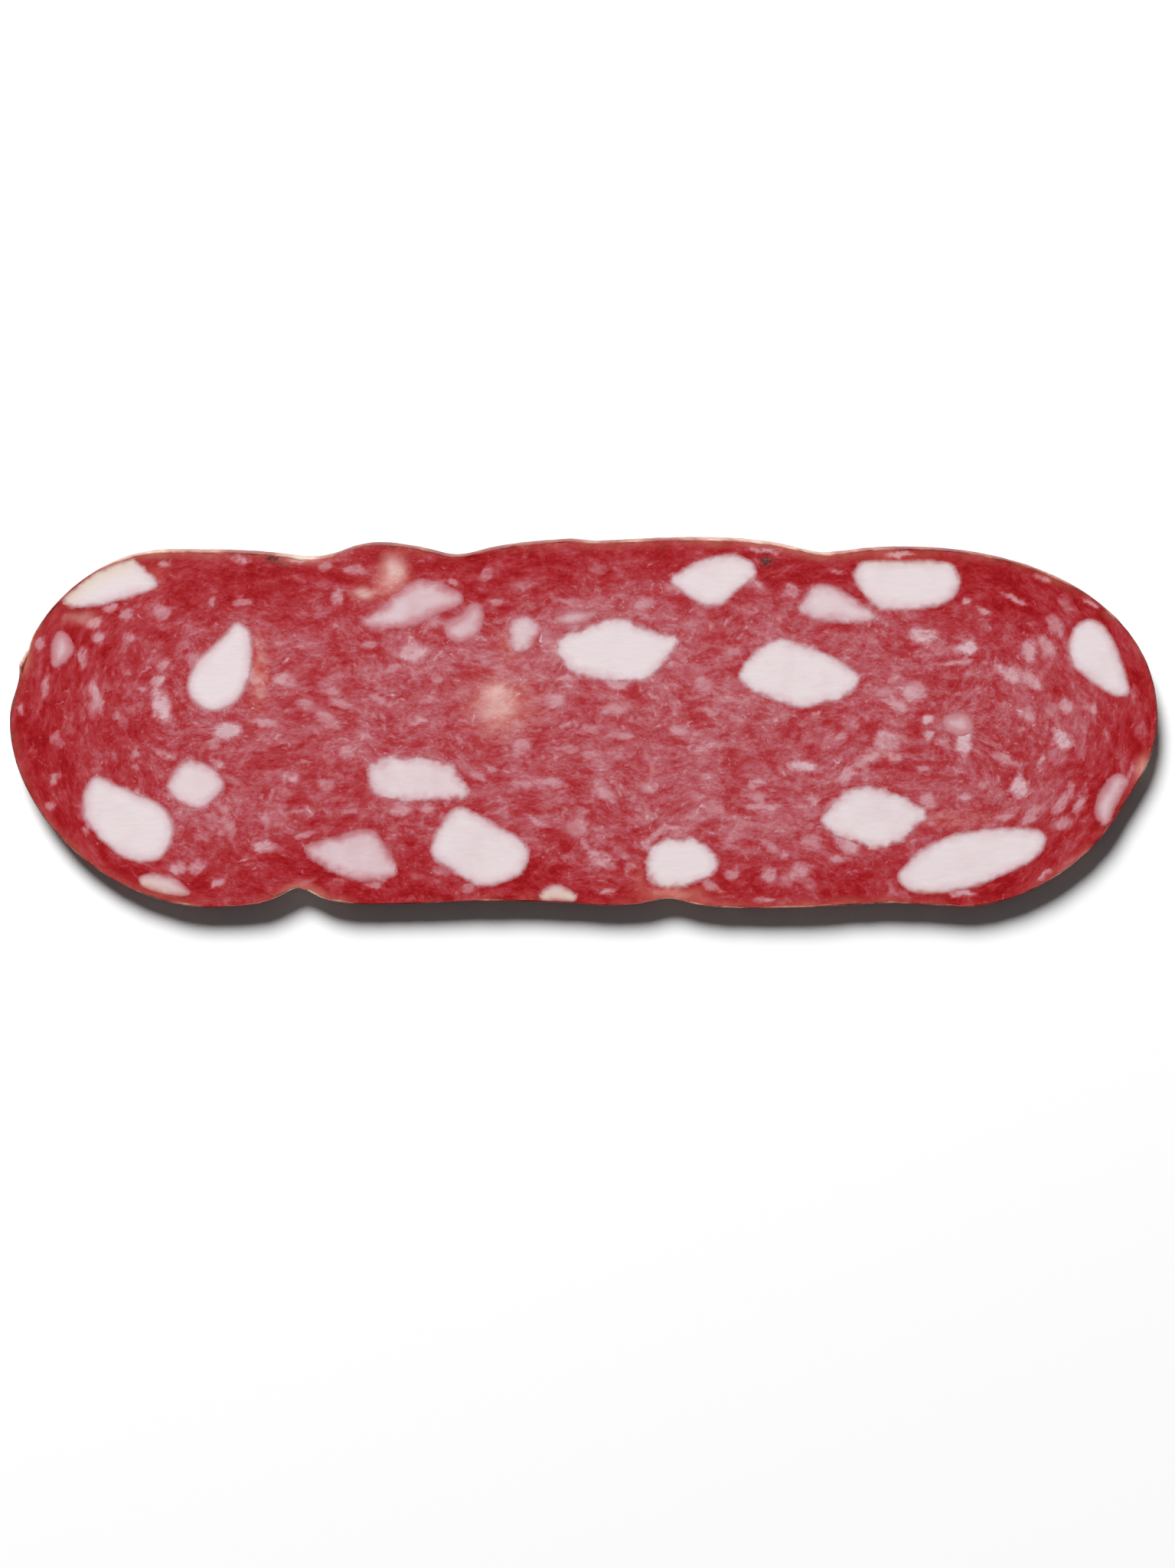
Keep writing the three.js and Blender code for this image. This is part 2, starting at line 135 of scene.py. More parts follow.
# %% [markdown]
# ## Noise for meshes
#
# Nothing in a sausage is regular, so most shapes and patterns below are bent by noise. Blender has noise
# inside its materials, but meshes need it too. This is gradient noise on whole arrays: each corner of a
# lattice of cubes has a random slope, and a point blends the slopes of its cube's eight corners.


# %% Noise
table = np.random.default_rng(11)
SHUFFLE = table.permutation(256)
SLOPES = table.normal(size=(256, 3))
SLOPES /= np.linalg.norm(SLOPES, axis=1, keepdims=True)


def noise(points, seed=0):
    """Gradient noise: the sum over a cube's corners of the corner's slope times the way from it, weighted
    by 6t^5 - 15t^4 + 10t^3 along each axis. It runs from about -0.6 to 0.6."""
    p = np.asarray(points, float) + 31.7 * seed
    cell = np.floor(p).astype(int)
    part = p - cell
    fade = part**3 * (part * (6 * part - 15) + 10)
    total = np.zeros(p.shape[:-1])
    for corner in product((0, 1), repeat=3):
        a, b, c = np.moveaxis(cell + corner, -1, 0)
        slope = SLOPES[SHUFFLE[(SHUFFLE[(SHUFFLE[a % 256] + b) % 256] + c) % 256]]
        weight = np.where(corner, fade, 1 - fade).prod(axis=-1)
        total += weight * (slope * (part - corner)).sum(axis=-1)
    return total


def rough_noise(points, octaves=3, seed=0):
    """Noise plus the same noise at twice the pitch and half the strength, and so on."""
    layers = [noise(np.asarray(points) * 2**i, seed + i) / 2**i for i in range(octaves)]
    return sum(layers)


def smooth_step(low_end, high_end, value):
    """0 below the low end, 1 above the high end, and 3t^2 - 2t^3 in between."""
    t = np.clip((value - low_end) / (high_end - low_end), 0, 1)
    return t * t * (3 - 2 * t)


print("noise at three points:", np.round(noise([[0.3, 0, 0], [4.5, 2.2, 0.1], [9.1, 7, 3]]), 3))


# %% [markdown]
# ## Surfaces from grids
#
# Every new piece is a surface made from a grid of points: an array with rows and columns of places. One
# function turns such a grid into a mesh. It numbers the squares between neighbouring points, and it can
# close the rows round on themselves, as the hoops of a barrel. The two open ends are closed with one face
# each, so that the piece encloses a volume.


# %% Surfaces from grids
def quads(rows, columns, closed_rows=False):
    """Corner numbers of the squares between neighbouring grid points, row by row. Closed rows join their
    last column to their first."""
    number = np.arange(rows * columns).reshape(rows, columns)
    if closed_rows:
        number = np.concatenate([number, number[:, :1]], axis=1)
    square = [number[:-1, :-1], number[:-1, 1:], number[1:, 1:], number[1:, :-1]]
    return np.stack(square, axis=-1).reshape(-1, 4)


def piece(name, points, faces):
    """A smooth object at the origin whose mesh has these points, in millimetres, and these faces."""
    mesh = bpy.data.meshes.new(name)
    mesh.from_pydata(np.asarray(points, float).reshape(-1, 3) * MM, [], faces)
    mesh.polygons.foreach_set("use_smooth", [True] * len(mesh.polygons))
    made = bpy.data.objects.new(name, mesh)
    bpy.context.scene.collection.objects.link(made)
    return made


def tube(name, grid):
    """A tube whose rows are closed rings, each end closed by one face. Each ring runs counter-clockwise
    seen from above, and the rings run upwards, so that faces look outwards."""
    rows, columns = grid.shape[:2]
    ends = [list(range(columns))[::-1], list(range((rows - 1) * columns, rows * columns))]
    return piece(name, grid, quads(rows, columns, closed_rows=True).tolist() + ends)


print("a grid of 3 by 4 points has", len(quads(3, 4)), "squares")


# %% [markdown]
# ## Reading the outlines from the frame
#
# The CAD pieces are prisms with straight walls, so the outline of a piece is the ring of corners on its
# upper or lower face. We read those corners, put them in order round the piece, space them evenly, and
# take the corners' sharpness off. Smoothing a closed curve is one line with a Fourier transform: each
# frequency is turned down by a bell curve.


# %% Outlines
def triangles(node):
    """The triangles of a CAD node, as an array of corners in millimetres."""
    mesh = nodes[node].data
    points = np.empty(len(mesh.vertices) * 3)
    mesh.vertices.foreach_get("co", points)
    corners = np.empty(len(mesh.polygons) * 3, int)
    mesh.polygons.foreach_get("vertices", corners)
    return points.reshape(-1, 3)[corners].reshape(-1, 3, 3) / MM


def even_loop(ring, count, softness):
    """The closed ring as `count` evenly spaced points, with detail finer than `softness` smoothed away."""
    closed = np.vstack([ring, ring[:1]])
    along = np.concatenate([[0], np.cumsum(np.linalg.norm(np.diff(closed, axis=0), axis=1))])
    places = np.linspace(0, along[-1], count, endpoint=False)
    x, y = [np.interp(places, along, closed[:, i]) for i in (0, 1)]
    turns = np.fft.fftfreq(count, along[-1] / count) * 2 * np.pi
    soft = np.fft.ifft(np.fft.fft(x + 1j * y) * np.exp(-0.5 * (turns * softness) ** 2))
    return np.stack([soft.real, soft.imag], axis=-1)


def outward(loop):
    """The outward unit normal at each point of a counter-clockwise loop."""
    way = np.roll(loop, -1, axis=0) - np.roll(loop, 1, axis=0)
    way /= np.linalg.norm(way, axis=1, keepdims=True)
    return np.stack([way[:, 1], -way[:, 0]], axis=-1)


def grown(loop, distance):
    """The loop with each point moved outwards by a distance, or by its own one from an array."""
    return loop + outward(loop) * np.reshape(distance, (-1, 1))


# %% [markdown]
# ## The rim
#
# Most pieces need to know where the rim is, so it is read first, from the casing's outer corners. The
# slice is long with round ends: think of a line along its middle, the spine, with half a circle about
# each end of it. A place on the rim is then counted along the two sides and round the two ends. The
# casing is torn at the left end and a flap of it stands off there, so those corners are left out, and the
# smoothed curve bridges the gap.

# %% The rim
SPINE = 41.0  # the ends of the slice are round about the two ends of a line this long each way
RIM_POINTS = 1400
RIM_SOFTNESS = 0.45  # mm
WALL = 0.3  # the casing's thickness
TORN = 1.5, 8.6  # the torn stretch of the left end, across the slice
NEAR = 0.01  # closer than this, mm, a corner lies on a face


def rim_place(points):
    """How far round the rim each point is, counter-clockwise from +X. Along the long sides it counts
    millimetres, and round the ends it counts degrees."""
    x, y = points[:, 0], points[:, 1]
    turn = np.degrees(np.arctan2(y, x - np.clip(x, -SPINE, SPINE))) % 360
    top = 90 + SPINE - x
    bottom = 270 + 3 * SPINE + x
    side = np.where(y > 0, top, bottom)
    ends = turn + np.where(x > 0, np.where(y > 0, 0, 4 * SPINE), 2 * SPINE)
    return np.where(np.abs(x) < SPINE, side, ends)


def rim_ring(height):
    """The casing's outer corners at one face, in order, without its torn and lifted stretch."""
    corners = triangles("casing")
    normal = np.cross(corners[:, 1] - corners[:, 0], corners[:, 2] - corners[:, 0])
    middle = corners.mean(axis=1)
    out = middle[:, :2] - np.stack([np.clip(middle[:, 0], -SPINE, SPINE), 0 * middle[:, 0]], axis=-1)
    facing = (normal[:, :2] * out).sum(axis=1) / np.linalg.norm(normal, axis=1) / np.linalg.norm(out, axis=1)
    ring = corners[facing > 0.5].reshape(-1, 3)
    ring = np.unique(np.round(ring[np.abs(ring[:, 2] - height) < NEAR], 3), axis=0)[:, :2]
    torn = (ring[:, 0] < -0.45 * LENGTH) & (ring[:, 1] > TORN[0]) & (ring[:, 1] < TORN[1])
    ring = ring[~torn]
    return ring[np.argsort(rim_place(ring))]


rim_low, rim_high = [even_loop(rim_ring(h), RIM_POINTS, RIM_SOFTNESS) for h in (0, THICKNESS)]
print("rim, mm round:", np.linalg.norm(np.diff(rim_high, axis=0), axis=1).sum().round(1))


# %% [markdown]
# ## The outlines of the dice and chips
#
# The CAD model keeps a clearance round each die, so that the solids never touch. In the real sausage the
# mince fills every gap, so each outline is grown into half of that clearance here, and further where a die
# lies against the casing. A few pieces get a last fitting: the chips are flatter than their seats
# in the CAD model, one of them lies right under the casing, and one die stands a little off it.

# %% The dice and chips
DIE_POINTS = 120
DIE_SOFTNESS = 0.12  # mm


def die_ring(node, height):
    """A die's corners at one height, in order round their middle."""
    corners = triangles(node).reshape(-1, 3)
    ring = np.unique(np.round(corners[np.abs(corners[:, 2] - height) < NEAR], 3), axis=0)[:, :2]
    way = ring - ring.mean(axis=0)
    return ring[np.argsort(np.arctan2(way[:, 1], way[:, 0]))]


def die_loops(node, growth, to_casing, close_by):
    """The die's heights and its lower and upper outline, grown to fill its seat, and grown further where
    the casing is close by. Both start where the die points towards +X, so that a wall between them
    doesn't twist."""
    heights = [float(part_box(node)[i][2]) / MM for i in (0, 1)]
    loops = []
    for height in heights:
        loop = even_loop(die_ring(node, height), DIE_POINTS, DIE_SOFTNESS)
        near = np.linalg.norm(loop[:, None] - rim_high[None, ::4], axis=-1).min(axis=1)
        loop = grown(loop, np.where(near < close_by, to_casing, growth))
        way = loop - loop.mean(axis=0)
        loops.append(np.roll(loop, -np.argmin(np.abs(np.arctan2(way[:, 1], way[:, 0]))), axis=0))
    return heights, loops


# How far a piece grows, how far where the casing is close by, and what counts as close, mm.
DIE_FILL = 0.15, 0.35, 0.85
CHIP_FILL = 0.0, 0.0, 0.0
dice = {name: die_loops(name, *DIE_FILL) for name in sorted(nodes) if name.startswith("fat_die")}
chips = {name: die_loops(name, *CHIP_FILL) for name in sorted(nodes) if name.startswith("pepper")}

# How a piece is scaled along and across the slice, and then moved.
FITTED = {
    "pepper_chip_01": ((0.9, 0.7), (-0.05, 0.25)),
    "pepper_chip_02": ((1.3, 0.6), (0.0, 0.78)),
    "fat_die_23": ((0.86, 1.0), (-0.3, 0.1)),
}
for name, (scale, move) in FITTED.items():
    for loop in {**dice, **chips}[name][1]:
        loop[:] = loop.mean(axis=0) + (loop - loop.mean(axis=0)) * scale + move
print(len(dice), "dice and", len(chips), "chips of pepper")

# %% [markdown]
# ## The lean mince
#
# The mince is one body with a seat for each die, so we make it as a cook would: a slab, trimmed to the
# rim, with the seats cut out. The slab's faces are fine grids, because a knife leaves a faintly uneven
# face on minced meat and because the grids will carry the pattern of ground fat.
#
# Its larger grains of ground fat come first, because the eye finds them again one by one. They are listed
# below. The mince was squeezed into a round casing, so its strands and grains run along the slice in the
# middle and turn parallel to the rim at both ends.

# %% Where the fat in the mince is
# Each row is one grain of ground fat: its place along and across the slice, half its length and half its
# width, how far it is turned, and how pale it is (1 is as pale as the dice).
GRAINS = np.array(
    [
        (-44.2, 1.7, 0.9, 1.7, 12, 0.9), (-47.6, 8.8, 0.6, 0.5, 0, 0.5), (-50.7, 8.8, 0.7, 0.6, 0, 0.55),
        (-52.3, 6.8, 0.5, 1.1, -12, 0.5), (-50.9, 2.4, 0.5, 1.6, 15, 0.6), (-56.3, 3.6, 0.4, 1.2, -5, 0.5),
        (-58.8, 1.4, 0.4, 0.7, 0, 0.6), (-56.8, 8.2, 0.5, 0.8, -20, 0.4), (-51, 10.4, 0.8, 0.5, 25, 0.5),
        (-49.4, 11.9, 0.8, 0.4, 15, 0.5), (-47.8, 11.2, 0.8, 0.5, 20, 0.45), (-44, 11.4, 0.8, 0.7, 0, 0.5),
        (-43.8, 16.5, 0.7, 0.4, 0, 0.5), (-36, 17, 1, 0.5, 0, 0.6), (-46.2, 3.5, 0.4, 0.4, 0, 0.5),
        (-44.6, 4.2, 0.8, 0.5, 30, 0.7), (-43.8, 6, 0.8, 0.3, 45, 0.5), (-38.8, 12.5, 0.4, 0.4, 0, 0.4),
        (-35.6, 12.5, 1, 0.4, 0, 0.4), (-31.2, 4.4, 1, 0.8, -20, 0.65), (-41, 6.4, 0.5, 0.9, 20, 0.4),
        (-37.2, -1, 1.4, 0.9, 10, 0.85), (-38.6, -2.2, 0.7, 0.5, 0, 0.5), (-55.2, -5.9, 0.7, 0.5, 60, 0.5),
        (-33.4, -13.1, 1, 0.6, 0, 0.7), (-33.2, -10.4, 0.4, 0.8, 0, 0.5), (-36.8, -11.2, 0.5, 0.9, -20, 0.5),
        (-42.4, -15.3, 0.9, 0.7, 0, 0.6), (-40.4, -15.2, 0.9, 0.6, 20, 0.65),
        (-38.2, -16.8, 0.9, 0.4, 30, 0.5), (-43.8, -3.5, 0.9, 0.4, -15, 0.5),
        (-38.4, -4.3, 0.9, 0.4, -25, 0.6), (-51.9, -11.1, 0.6, 0.4, 60, 0.4),
        (-55.8, -8.8, 0.5, 0.5, 0, 0.4), (-36.7, -6.2, 0.7, 0.4, 0, 0.4), (-33.2, -0.2, 1.5, 0.4, -10, 0.55),
        (-46.8, -3.4, 0.4, 0.4, 0, 0.45), (-46.8, -4.7, 0.4, 0.3, 0, 0.4), (-25.7, 13, 0.7, 0.9, 0, 0.6),
        (-18, 7.3, 1.5, 0.8, 8, 0.85), (-24, 15.9, 1, 0.5, 0, 0.4), (-27, 16.3, 0.7, 0.5, 0, 0.35),
        (-29.5, 17.1, 1.6, 0.4, 0, 0.6), (-19.8, 5.7, 0.8, 0.4, 15, 0.5), (-15.4, 4.6, 0.6, 0.5, 0, 0.5),
        (-16, 2.4, 0.7, 0.5, 0, 0.5), (-26.2, 3.2, 1, 0.5, -10, 0.5), (-25, 1.7, 1.4, 0.4, -20, 0.55),
        (-29.2, 2, 0.8, 0.4, 0, 0.4), (-27, 0.4, 1.2, 0.4, -15, 0.5), (-21.6, 2.4, 1.2, 0.5, -20, 0.5),
        (-8.8, 5.6, 0.6, 0.5, 0, 0.4), (-6, 5.6, 0.5, 0.3, 0, 0.4), (-2.8, 2.2, 1, 0.7, 0, 0.55),
        (-1.8, 4.5, 1, 0.4, 0, 0.6), (-9.2, 12.6, 0.8, 0.3, -10, 0.45), (-10.2, 15.4, 0.6, 0.6, 0, 0.4),
        (-2, 12.6, 1.2, 0.3, 0, 0.4), (-13.6, 14.6, 0.6, 0.3, -30, 0.4), (-22.3, 8, 0.8, 0.3, 10, 0.4),
        (-24.9, -3.1, 0.8, 0.6, -20, 0.7), (-27, -6.4, 0.9, 0.6, -15, 0.45),
        (-26.4, -0.4, 0.9, 0.4, -15, 0.6),
        (-29.8, -9.3, 0.6, 0.3, 0, 0.4), (-24.5, -9.4, 0.7, 0.3, 0, 0.4), (-29.2, -11.8, 1, 0.3, 15, 0.4),
        (-19.2, -9.2, 1, 0.6, 0, 0.6), (-16.4, -9, 0.8, 0.4, 0, 0.5), (-11, -5.7, 0.8, 0.2, -25, 0.5),
        (-9.8, -4.9, 0.7, 0.3, -20, 0.5), (-3.2, -6.4, 1.5, 0.4, -15, 0.55), (-6.4, -2.6, 0.9, 0.8, 0, 0.5),
        (-1.4, -2.8, 0.8, 0.4, 0, 0.5), (-4.8, -10.4, 1.4, 0.3, -30, 0.5), (-0.7, -11.2, 1, 1.1, 0, 0.45),
        (-12.2, -17.3, 0.7, 0.5, 0, 0.4), (-21.9, -17.1, 0.8, 0.3, 0, 0.4), (6.4, 12.3, 1, 0.6, 10, 0.5),
        (12.6, 3.8, 1, 0.7, 15, 0.5), (15.8, 7.3, 0.8, 0.5, 10, 0.45), (3.6, 4, 1.3, 0.6, 0, 0.6),
        (3, 1.4, 1.3, 0.6, 0, 0.55), (26.6, 15.6, 0.9, 0.3, -10, 0.45), (21.8, 13.6, 0.8, 0.7, 0, 0.5),
        (22.8, -4.6, 1.4, 0.55, 0, 0.9), (10, -0.9, 1, 0.5, -10, 0.55), (2.4, -7.6, 0.8, 0.45, 0, 0.55),
        (4, -1.5, 1.2, 0.4, 0, 0.5), (0.6, -0.8, 1, 0.6, 0, 0.45), (0.6, -3.3, 0.8, 0.5, -20, 0.5),
        (1.8, -14.4, 1.5, 0.75, -30, 0.65), (0.2, -13, 0.8, 0.3, -50, 0.45), (4.8, -15.2, 0.5, 0.6, 0, 0.5),
        (13.6, -8.8, 0.9, 0.8, 0, 0.45), (19, -8.8, 2.2, 0.25, 0, 0.6), (18.2, -8, 0.6, 0.5, 0, 0.6),
        (19.4, -13, 1.2, 0.4, -30, 0.5), (22.6, -15.6, 1.3, 0.8, 30, 0.6), (19.4, -16, 0.9, 0.8, 0, 0.6),
        (23.8, -12.4, 0.9, 0.6, 0, 0.45), (15.4, -16, 0.7, 0.5, 0, 0.45), (27, -1.5, 0.6, 0.3, 0, 0.6),
        (27.6, -5.4, 1, 0.6, 45, 0.65), (29, -4.3, 0.8, 0.5, 0, 0.55), (27.5, -12.9, 1.3, 0.8, -20, 0.65),
        (26.8, -14.4, 1.2, 0.35, 0, 0.5), (13.4, -17.2, 1.2, 0.4, -25, 0.5), (18.8, -18.5, 1, 0.3, 0, 0.6),
        (2.6, -17.7, 0.8, 0.3, 0, 0.5), (0, -9.3, 0.6, 0.4, 0, 0.4), (35.4, 9.1, 1.3, 0.65, 0, 0.95),
        (40.1, 7.7, 1.1, 0.65, 10, 0.95), (40.1, 12.7, 0.6, 0.35, 0, 0.7), (41.8, 11.6, 0.8, 0.2, -20, 0.5),
        (45, 12.9, 1.8, 0.2, -25, 0.45), (46.6, 7.4, 0.7, 1.2, 0, 0.65), (48.4, 7.8, 0.6, 1.2, 30, 0.5),
        (49.2, 10, 0.7, 1.2, 30, 0.45), (44.6, 5, 1.7, 0.6, -25, 0.75), (46.6, 4.6, 1.4, 0.6, -45, 0.65),
        (39.2, 6.2, 1.7, 0.3, 10, 0.5), (34.5, 3, 1.1, 1, 0, 0.7), (33, 1.4, 0.7, 0.7, 0, 0.6),
        (31.6, 3.2, 0.7, 0.5, 0, 0.4), (36, 0.2, 0.6, 0.5, 0, 0.8), (50.4, 1.6, 0.6, 0.7, 0, 0.6),
        (46.6, 0.6, 0.5, 0.9, 15, 0.6), (53.4, 1.4, 0.4, 0.6, 0, 0.5), (53, 12.4, 1, 0.3, -30, 0.5),
        (47.8, 15.1, 1, 0.3, -20, 0.5), (33, 17.5, 1.3, 0.3, 0, 0.6), (39.8, -2.2, 0.8, 1.2, 0, 0.95),
        (36.1, -1.3, 0.6, 0.55, 0, 0.75), (50.1, -2, 1, 0.8, 0, 0.95), (45.6, -6.8, 0.9, 1.2, 0, 0.85),
        (44, -3.9, 1.5, 0.5, -20, 0.6), (47.9, -4, 0.5, 0.3, 60, 0.6), (39.8, -7.9, 0.8, 0.35, 0, 0.65),
        (36.1, -8.2, 0.8, 0.7, 0, 0.6), (51.8, -8.8, 1, 0.6, 60, 0.6), (49.8, -8.6, 1.4, 0.5, 60, 0.6),
        (51, -7, 0.5, 0.7, 0, 0.5), (50.2, -10.6, 1, 0.7, 30, 0.5), (44, -10, 0.9, 0.3, 0, 0.5),
        (46.4, -10.2, 0.8, 0.4, 20, 0.5), (47, -9.2, 0.8, 0.4, 40, 0.5), (31.6, -2, 1.3, 0.9, -20, 0.7),
        (30.4, -3.4, 1.4, 0.5, 20, 0.6), (32.8, -3.8, 0.5, 0.4, 0, 0.5), (39.6, -17.9, 1.3, 0.35, 0, 0.7),
        (35.4, -5, 0.7, 0.3, 0, 0.4), (39.2, -5, 0.6, 0.4, 0, 0.5), (48.2, -16, 1, 0.3, 40, 0.6),
        (6.5, -12.8, 0.7, 0.2, 60, 0.6), (7.7, -11.7, 0.8, 0.2, 35, 0.6), (9.2, -11.1, 0.9, 0.2, 10, 0.6),
        (19, 17.9, 1.6, 0.3, -5, 0.6), (32.2, -9.2, 0.9, 0.4, 30, 0.5), (33.6, -9.9, 0.8, 0.4, 10, 0.5),
    ]
)  # fmt: skip
print(len(GRAINS), "grains of ground fat in the mince")


# %% [markdown]
# ### Distances that carry a pattern
#
# A grain is soft at its edge, so what counts is how deep a point lies in it, as a share from 0 to 1. Each
# place is first pushed about by noise, and with that the edges of round shapes come out ragged. The
# distance to a die or to the rim is measured to the straight stretches of its outline.


# %% How far a point is from the fat
def wandered(x, y, z, reach, pitch, seed):
    """The places x, y pushed about by noise, so that edges measured from them come out ragged."""
    at = np.stack([x, y, z], axis=-1) / pitch
    return x + reach * rough_noise(at, 3, seed), y + reach * rough_noise(at, 3, seed + 7)


def grain_field(x, y, z):
    """How much of a grain each point is in, 0 to 1, and the paleness there. With k the length of
    (along / half length, across / half width), it is 1 where k is under 0.5 and falls to 0 at k = 1.5."""
    x, y = wandered(x, y, z, 0.45, 1.1, 3)
    inside, pale = np.zeros(x.shape), np.zeros(x.shape)
    for gx, gy, half_length, half_width, turn, paleness in GRAINS:
        near = (np.abs(x - gx) < 4) & (np.abs(y - gy) < 4)
        c, s = np.cos(np.radians(turn)), np.sin(np.radians(turn))
        dx, dy = x[near] - gx, y[near] - gy
        along, across = c * dx + s * dy, c * dy - s * dx
        share = smooth_step(1.5, 0.5, np.hypot(along / half_length, across / max(half_width, 0.3)))
        inside[near] = np.maximum(inside[near], share)
        pale[near] = np.maximum(pale[near], share * paleness)
    return inside, pale / np.maximum(inside, 0.05)


def loop_distance(loop, x, y):
    """How far each point is from a closed loop: the least, over its straight stretches, of the distance
    to the stretch, found by clamping the point's shadow on it."""
    best = np.full(x.shape, 1e9)
    ends = np.roll(loop, -1, axis=0) - loop
    for (ax, ay), (bx, by) in zip(loop, ends):
        t = np.clip(((x - ax) * bx + (y - ay) * by) / (bx * bx + by * by), 0, 1)
        best = np.minimum(best, (x - ax - t * bx) ** 2 + (y - ay - t * by) ** 2)
    return np.sqrt(best)


# %% [markdown]
# ### The slab's two faces
#
# The upper face is a height for each place: the slice's thickness, shallow waves from the knife, and fine
# unevenness that follows the strands. The lower face is flatter, because the slice has settled on what it
# lies on. A block with one such face and one flat side is enough, because trimming two blocks against each
# other leaves the slab between the faces.


# %% The slab's two faces
def upper_face(x, y, roughness=1.0):
    """The cut face: the slice's thickness, with shallow waves and the fine unevenness of minced meat."""
    at = np.stack([x, y, 0 * x], axis=-1)
    fine = rough_noise(at / [2.2, 1.1, 1], 3, 2)
    return THICKNESS - 0.04 + 0.05 * noise(at / 9, 1) + 0.035 * roughness * fine


def lower_face(x, y, roughness=1.0):
    """The face it lies on: nearly flat, because the slice settles on its plate."""
    at = np.stack([x, y, 0 * x], axis=-1)
    return 0.02 + 0.03 * roughness * np.abs(rough_noise(at / [2.2, 1.1, 1], 3, 5))


def sheet_block(name, pitch, face, other_height):
    """A block with one side the surface face(x, y) on a grid, and the other side flat."""
    xs = np.arange(-0.5 * LENGTH - 2, 0.5 * LENGTH + 2 + pitch, pitch)
    ys = np.arange(-0.5 * WIDTH - 2, 0.5 * WIDTH + 2 + pitch, pitch)
    x, y = np.meshgrid(xs, ys)
    points = np.stack([x, y, face(x, y)], axis=-1)
    rows, columns = x.shape
    number = np.arange(rows * columns).reshape(rows, columns)
    edge = np.concatenate([number[0, :-1], number[:-1, -1], number[-1, :0:-1], number[:0:-1, 0]])
    far = points.reshape(-1, 3)[edge] * [1, 1, 0] + [0, 0, other_height]
    new = rows * columns + np.arange(len(edge))
    wall = np.stack([edge, new, np.roll(new, -1), np.roll(edge, -1)], axis=-1)
    faces = quads(rows, columns).tolist() + wall.tolist() + [new[::-1].tolist()]
    if other_height > 0:
        faces = [corner[::-1] for corner in faces]
    return piece(name, np.concatenate([points.reshape(-1, 3), far]), faces)


# %% [markdown]
# ### Cutters
#
# A seat for a die is cut with a block of the die's own shape. A die that shows on a face of the slice
# carries on past it, along its slanting walls, because a cutter that ends exactly in the face it cuts
# leaves the solver in doubt.

# %% Cutters
OVERRUN = 2.0  # how far a cutter runs past the faces it cuts
AT_FACE = 0.1  # a die that ends closer than this to a face of the slice shows on it


def reaches(heights):
    """Whether a die shows on the lower and on the upper face of the slice."""
    return heights[0] < AT_FACE, heights[1] > THICKNESS - AT_FACE


def loft(name, heights, loops):
    """A block between two loops at two heights."""
    rings = [np.column_stack([ring, np.full(len(ring), h)]) for h, ring in zip(heights, loops)]
    return tube(name, np.array(rings))


def seat(name, heights, loops):
    """A cutter the shape of a die, carried on past each face of the slice that the die reaches."""
    slope = (loops[1] - loops[0]) / (heights[1] - heights[0])
    past = [OVERRUN * shows * way for shows, way in zip(reaches(heights), (-1, 1))]
    heights = [height + step for height, step in zip(heights, past)]
    return loft(name, heights, [loop + slope * step for loop, step in zip(loops, past)])


print("dice that show on both faces:", sum(all(reaches(heights)) for heights, _ in dice.values()))


# %% [markdown]
# ### Trimming
#
# Each cut is a Boolean modifier. The manifold solver is used, because it is fast and always gives back a
# closed surface. Where two cuts graze each other it can leave a loose bit of a few faces, which encloses
# nothing, so the mesh is walked over once and only its largest body is kept.


# %% Loose bits
def keep_largest_body(mesh):
    """Walks over the mesh from face to face, and deletes every body but the one with the most faces."""
    work = bmesh.new()
    work.from_mesh(mesh)
    left, bodies = set(work.faces), []
    while left:
        body, front = set(), {left.pop()}
        while front:
            body |= front
            front = {other for face in front for edge in face.edges for other in edge.link_faces} - body
        left -= body
        bodies.append(body)
    bits = [face for body in sorted(bodies, key=len)[:-1] for face in body]
    bmesh.ops.delete(work, geom=bits, context="FACES")
    work.to_mesh(mesh)
    work.free()
    return len(bits)


# %% Trimming the slab
MINCE_EDGE = 0.5 * WALL  # the mince reaches into the casing
FINE, COARSE = 0.25, 0.6  # the pitch of the upper and of the lower face
SLAB_FOOT = -1.0
SHARP = np.radians(45)  # an edge that turns further than this stays sharp

mince = sheet_block("lean", FINE, upper_face, SLAB_FOOT)
rise = (rim_high - rim_low) / THICKNESS
rims = rim_low - rise * OVERRUN, rim_high + rise * OVERRUN
prism = loft("trim", (-OVERRUN, THICKNESS + OVERRUN), [grown(rim, -MINCE_EDGE)[::2] for rim in rims])
floor_cut = sheet_block("floor_cut", COARSE, lower_face, THICKNESS + OVERRUN)
cutters = [("INTERSECT", prism), ("INTERSECT", floor_cut)]
cutters += [("DIFFERENCE", seat(name + "_seat", *shape)) for name, shape in {**dice, **chips}.items()]
for operation, cutter in cutters:
    cut = mince.modifiers.new(cutter.name, "BOOLEAN")
    cut.operation, cut.object, cut.solver = operation, cutter, "MANIFOLD"
bpy.context.view_layer.update()
shaped = bpy.data.meshes.new_from_object(mince.evaluated_get(bpy.context.evaluated_depsgraph_get()))
mince.modifiers.clear()
mince.data = shaped
for _, cutter in cutters:
    bpy.data.objects.remove(cutter)
print("faces in loose bits:", keep_largest_body(shaped))
shaped.materials.clear()
shaped.polygons.foreach_set("material_index", [0] * len(shaped.polygons))
shaped.polygons.foreach_set("use_smooth", [True] * len(shaped.polygons))
shaped.set_sharp_from_angle(angle=SHARP)
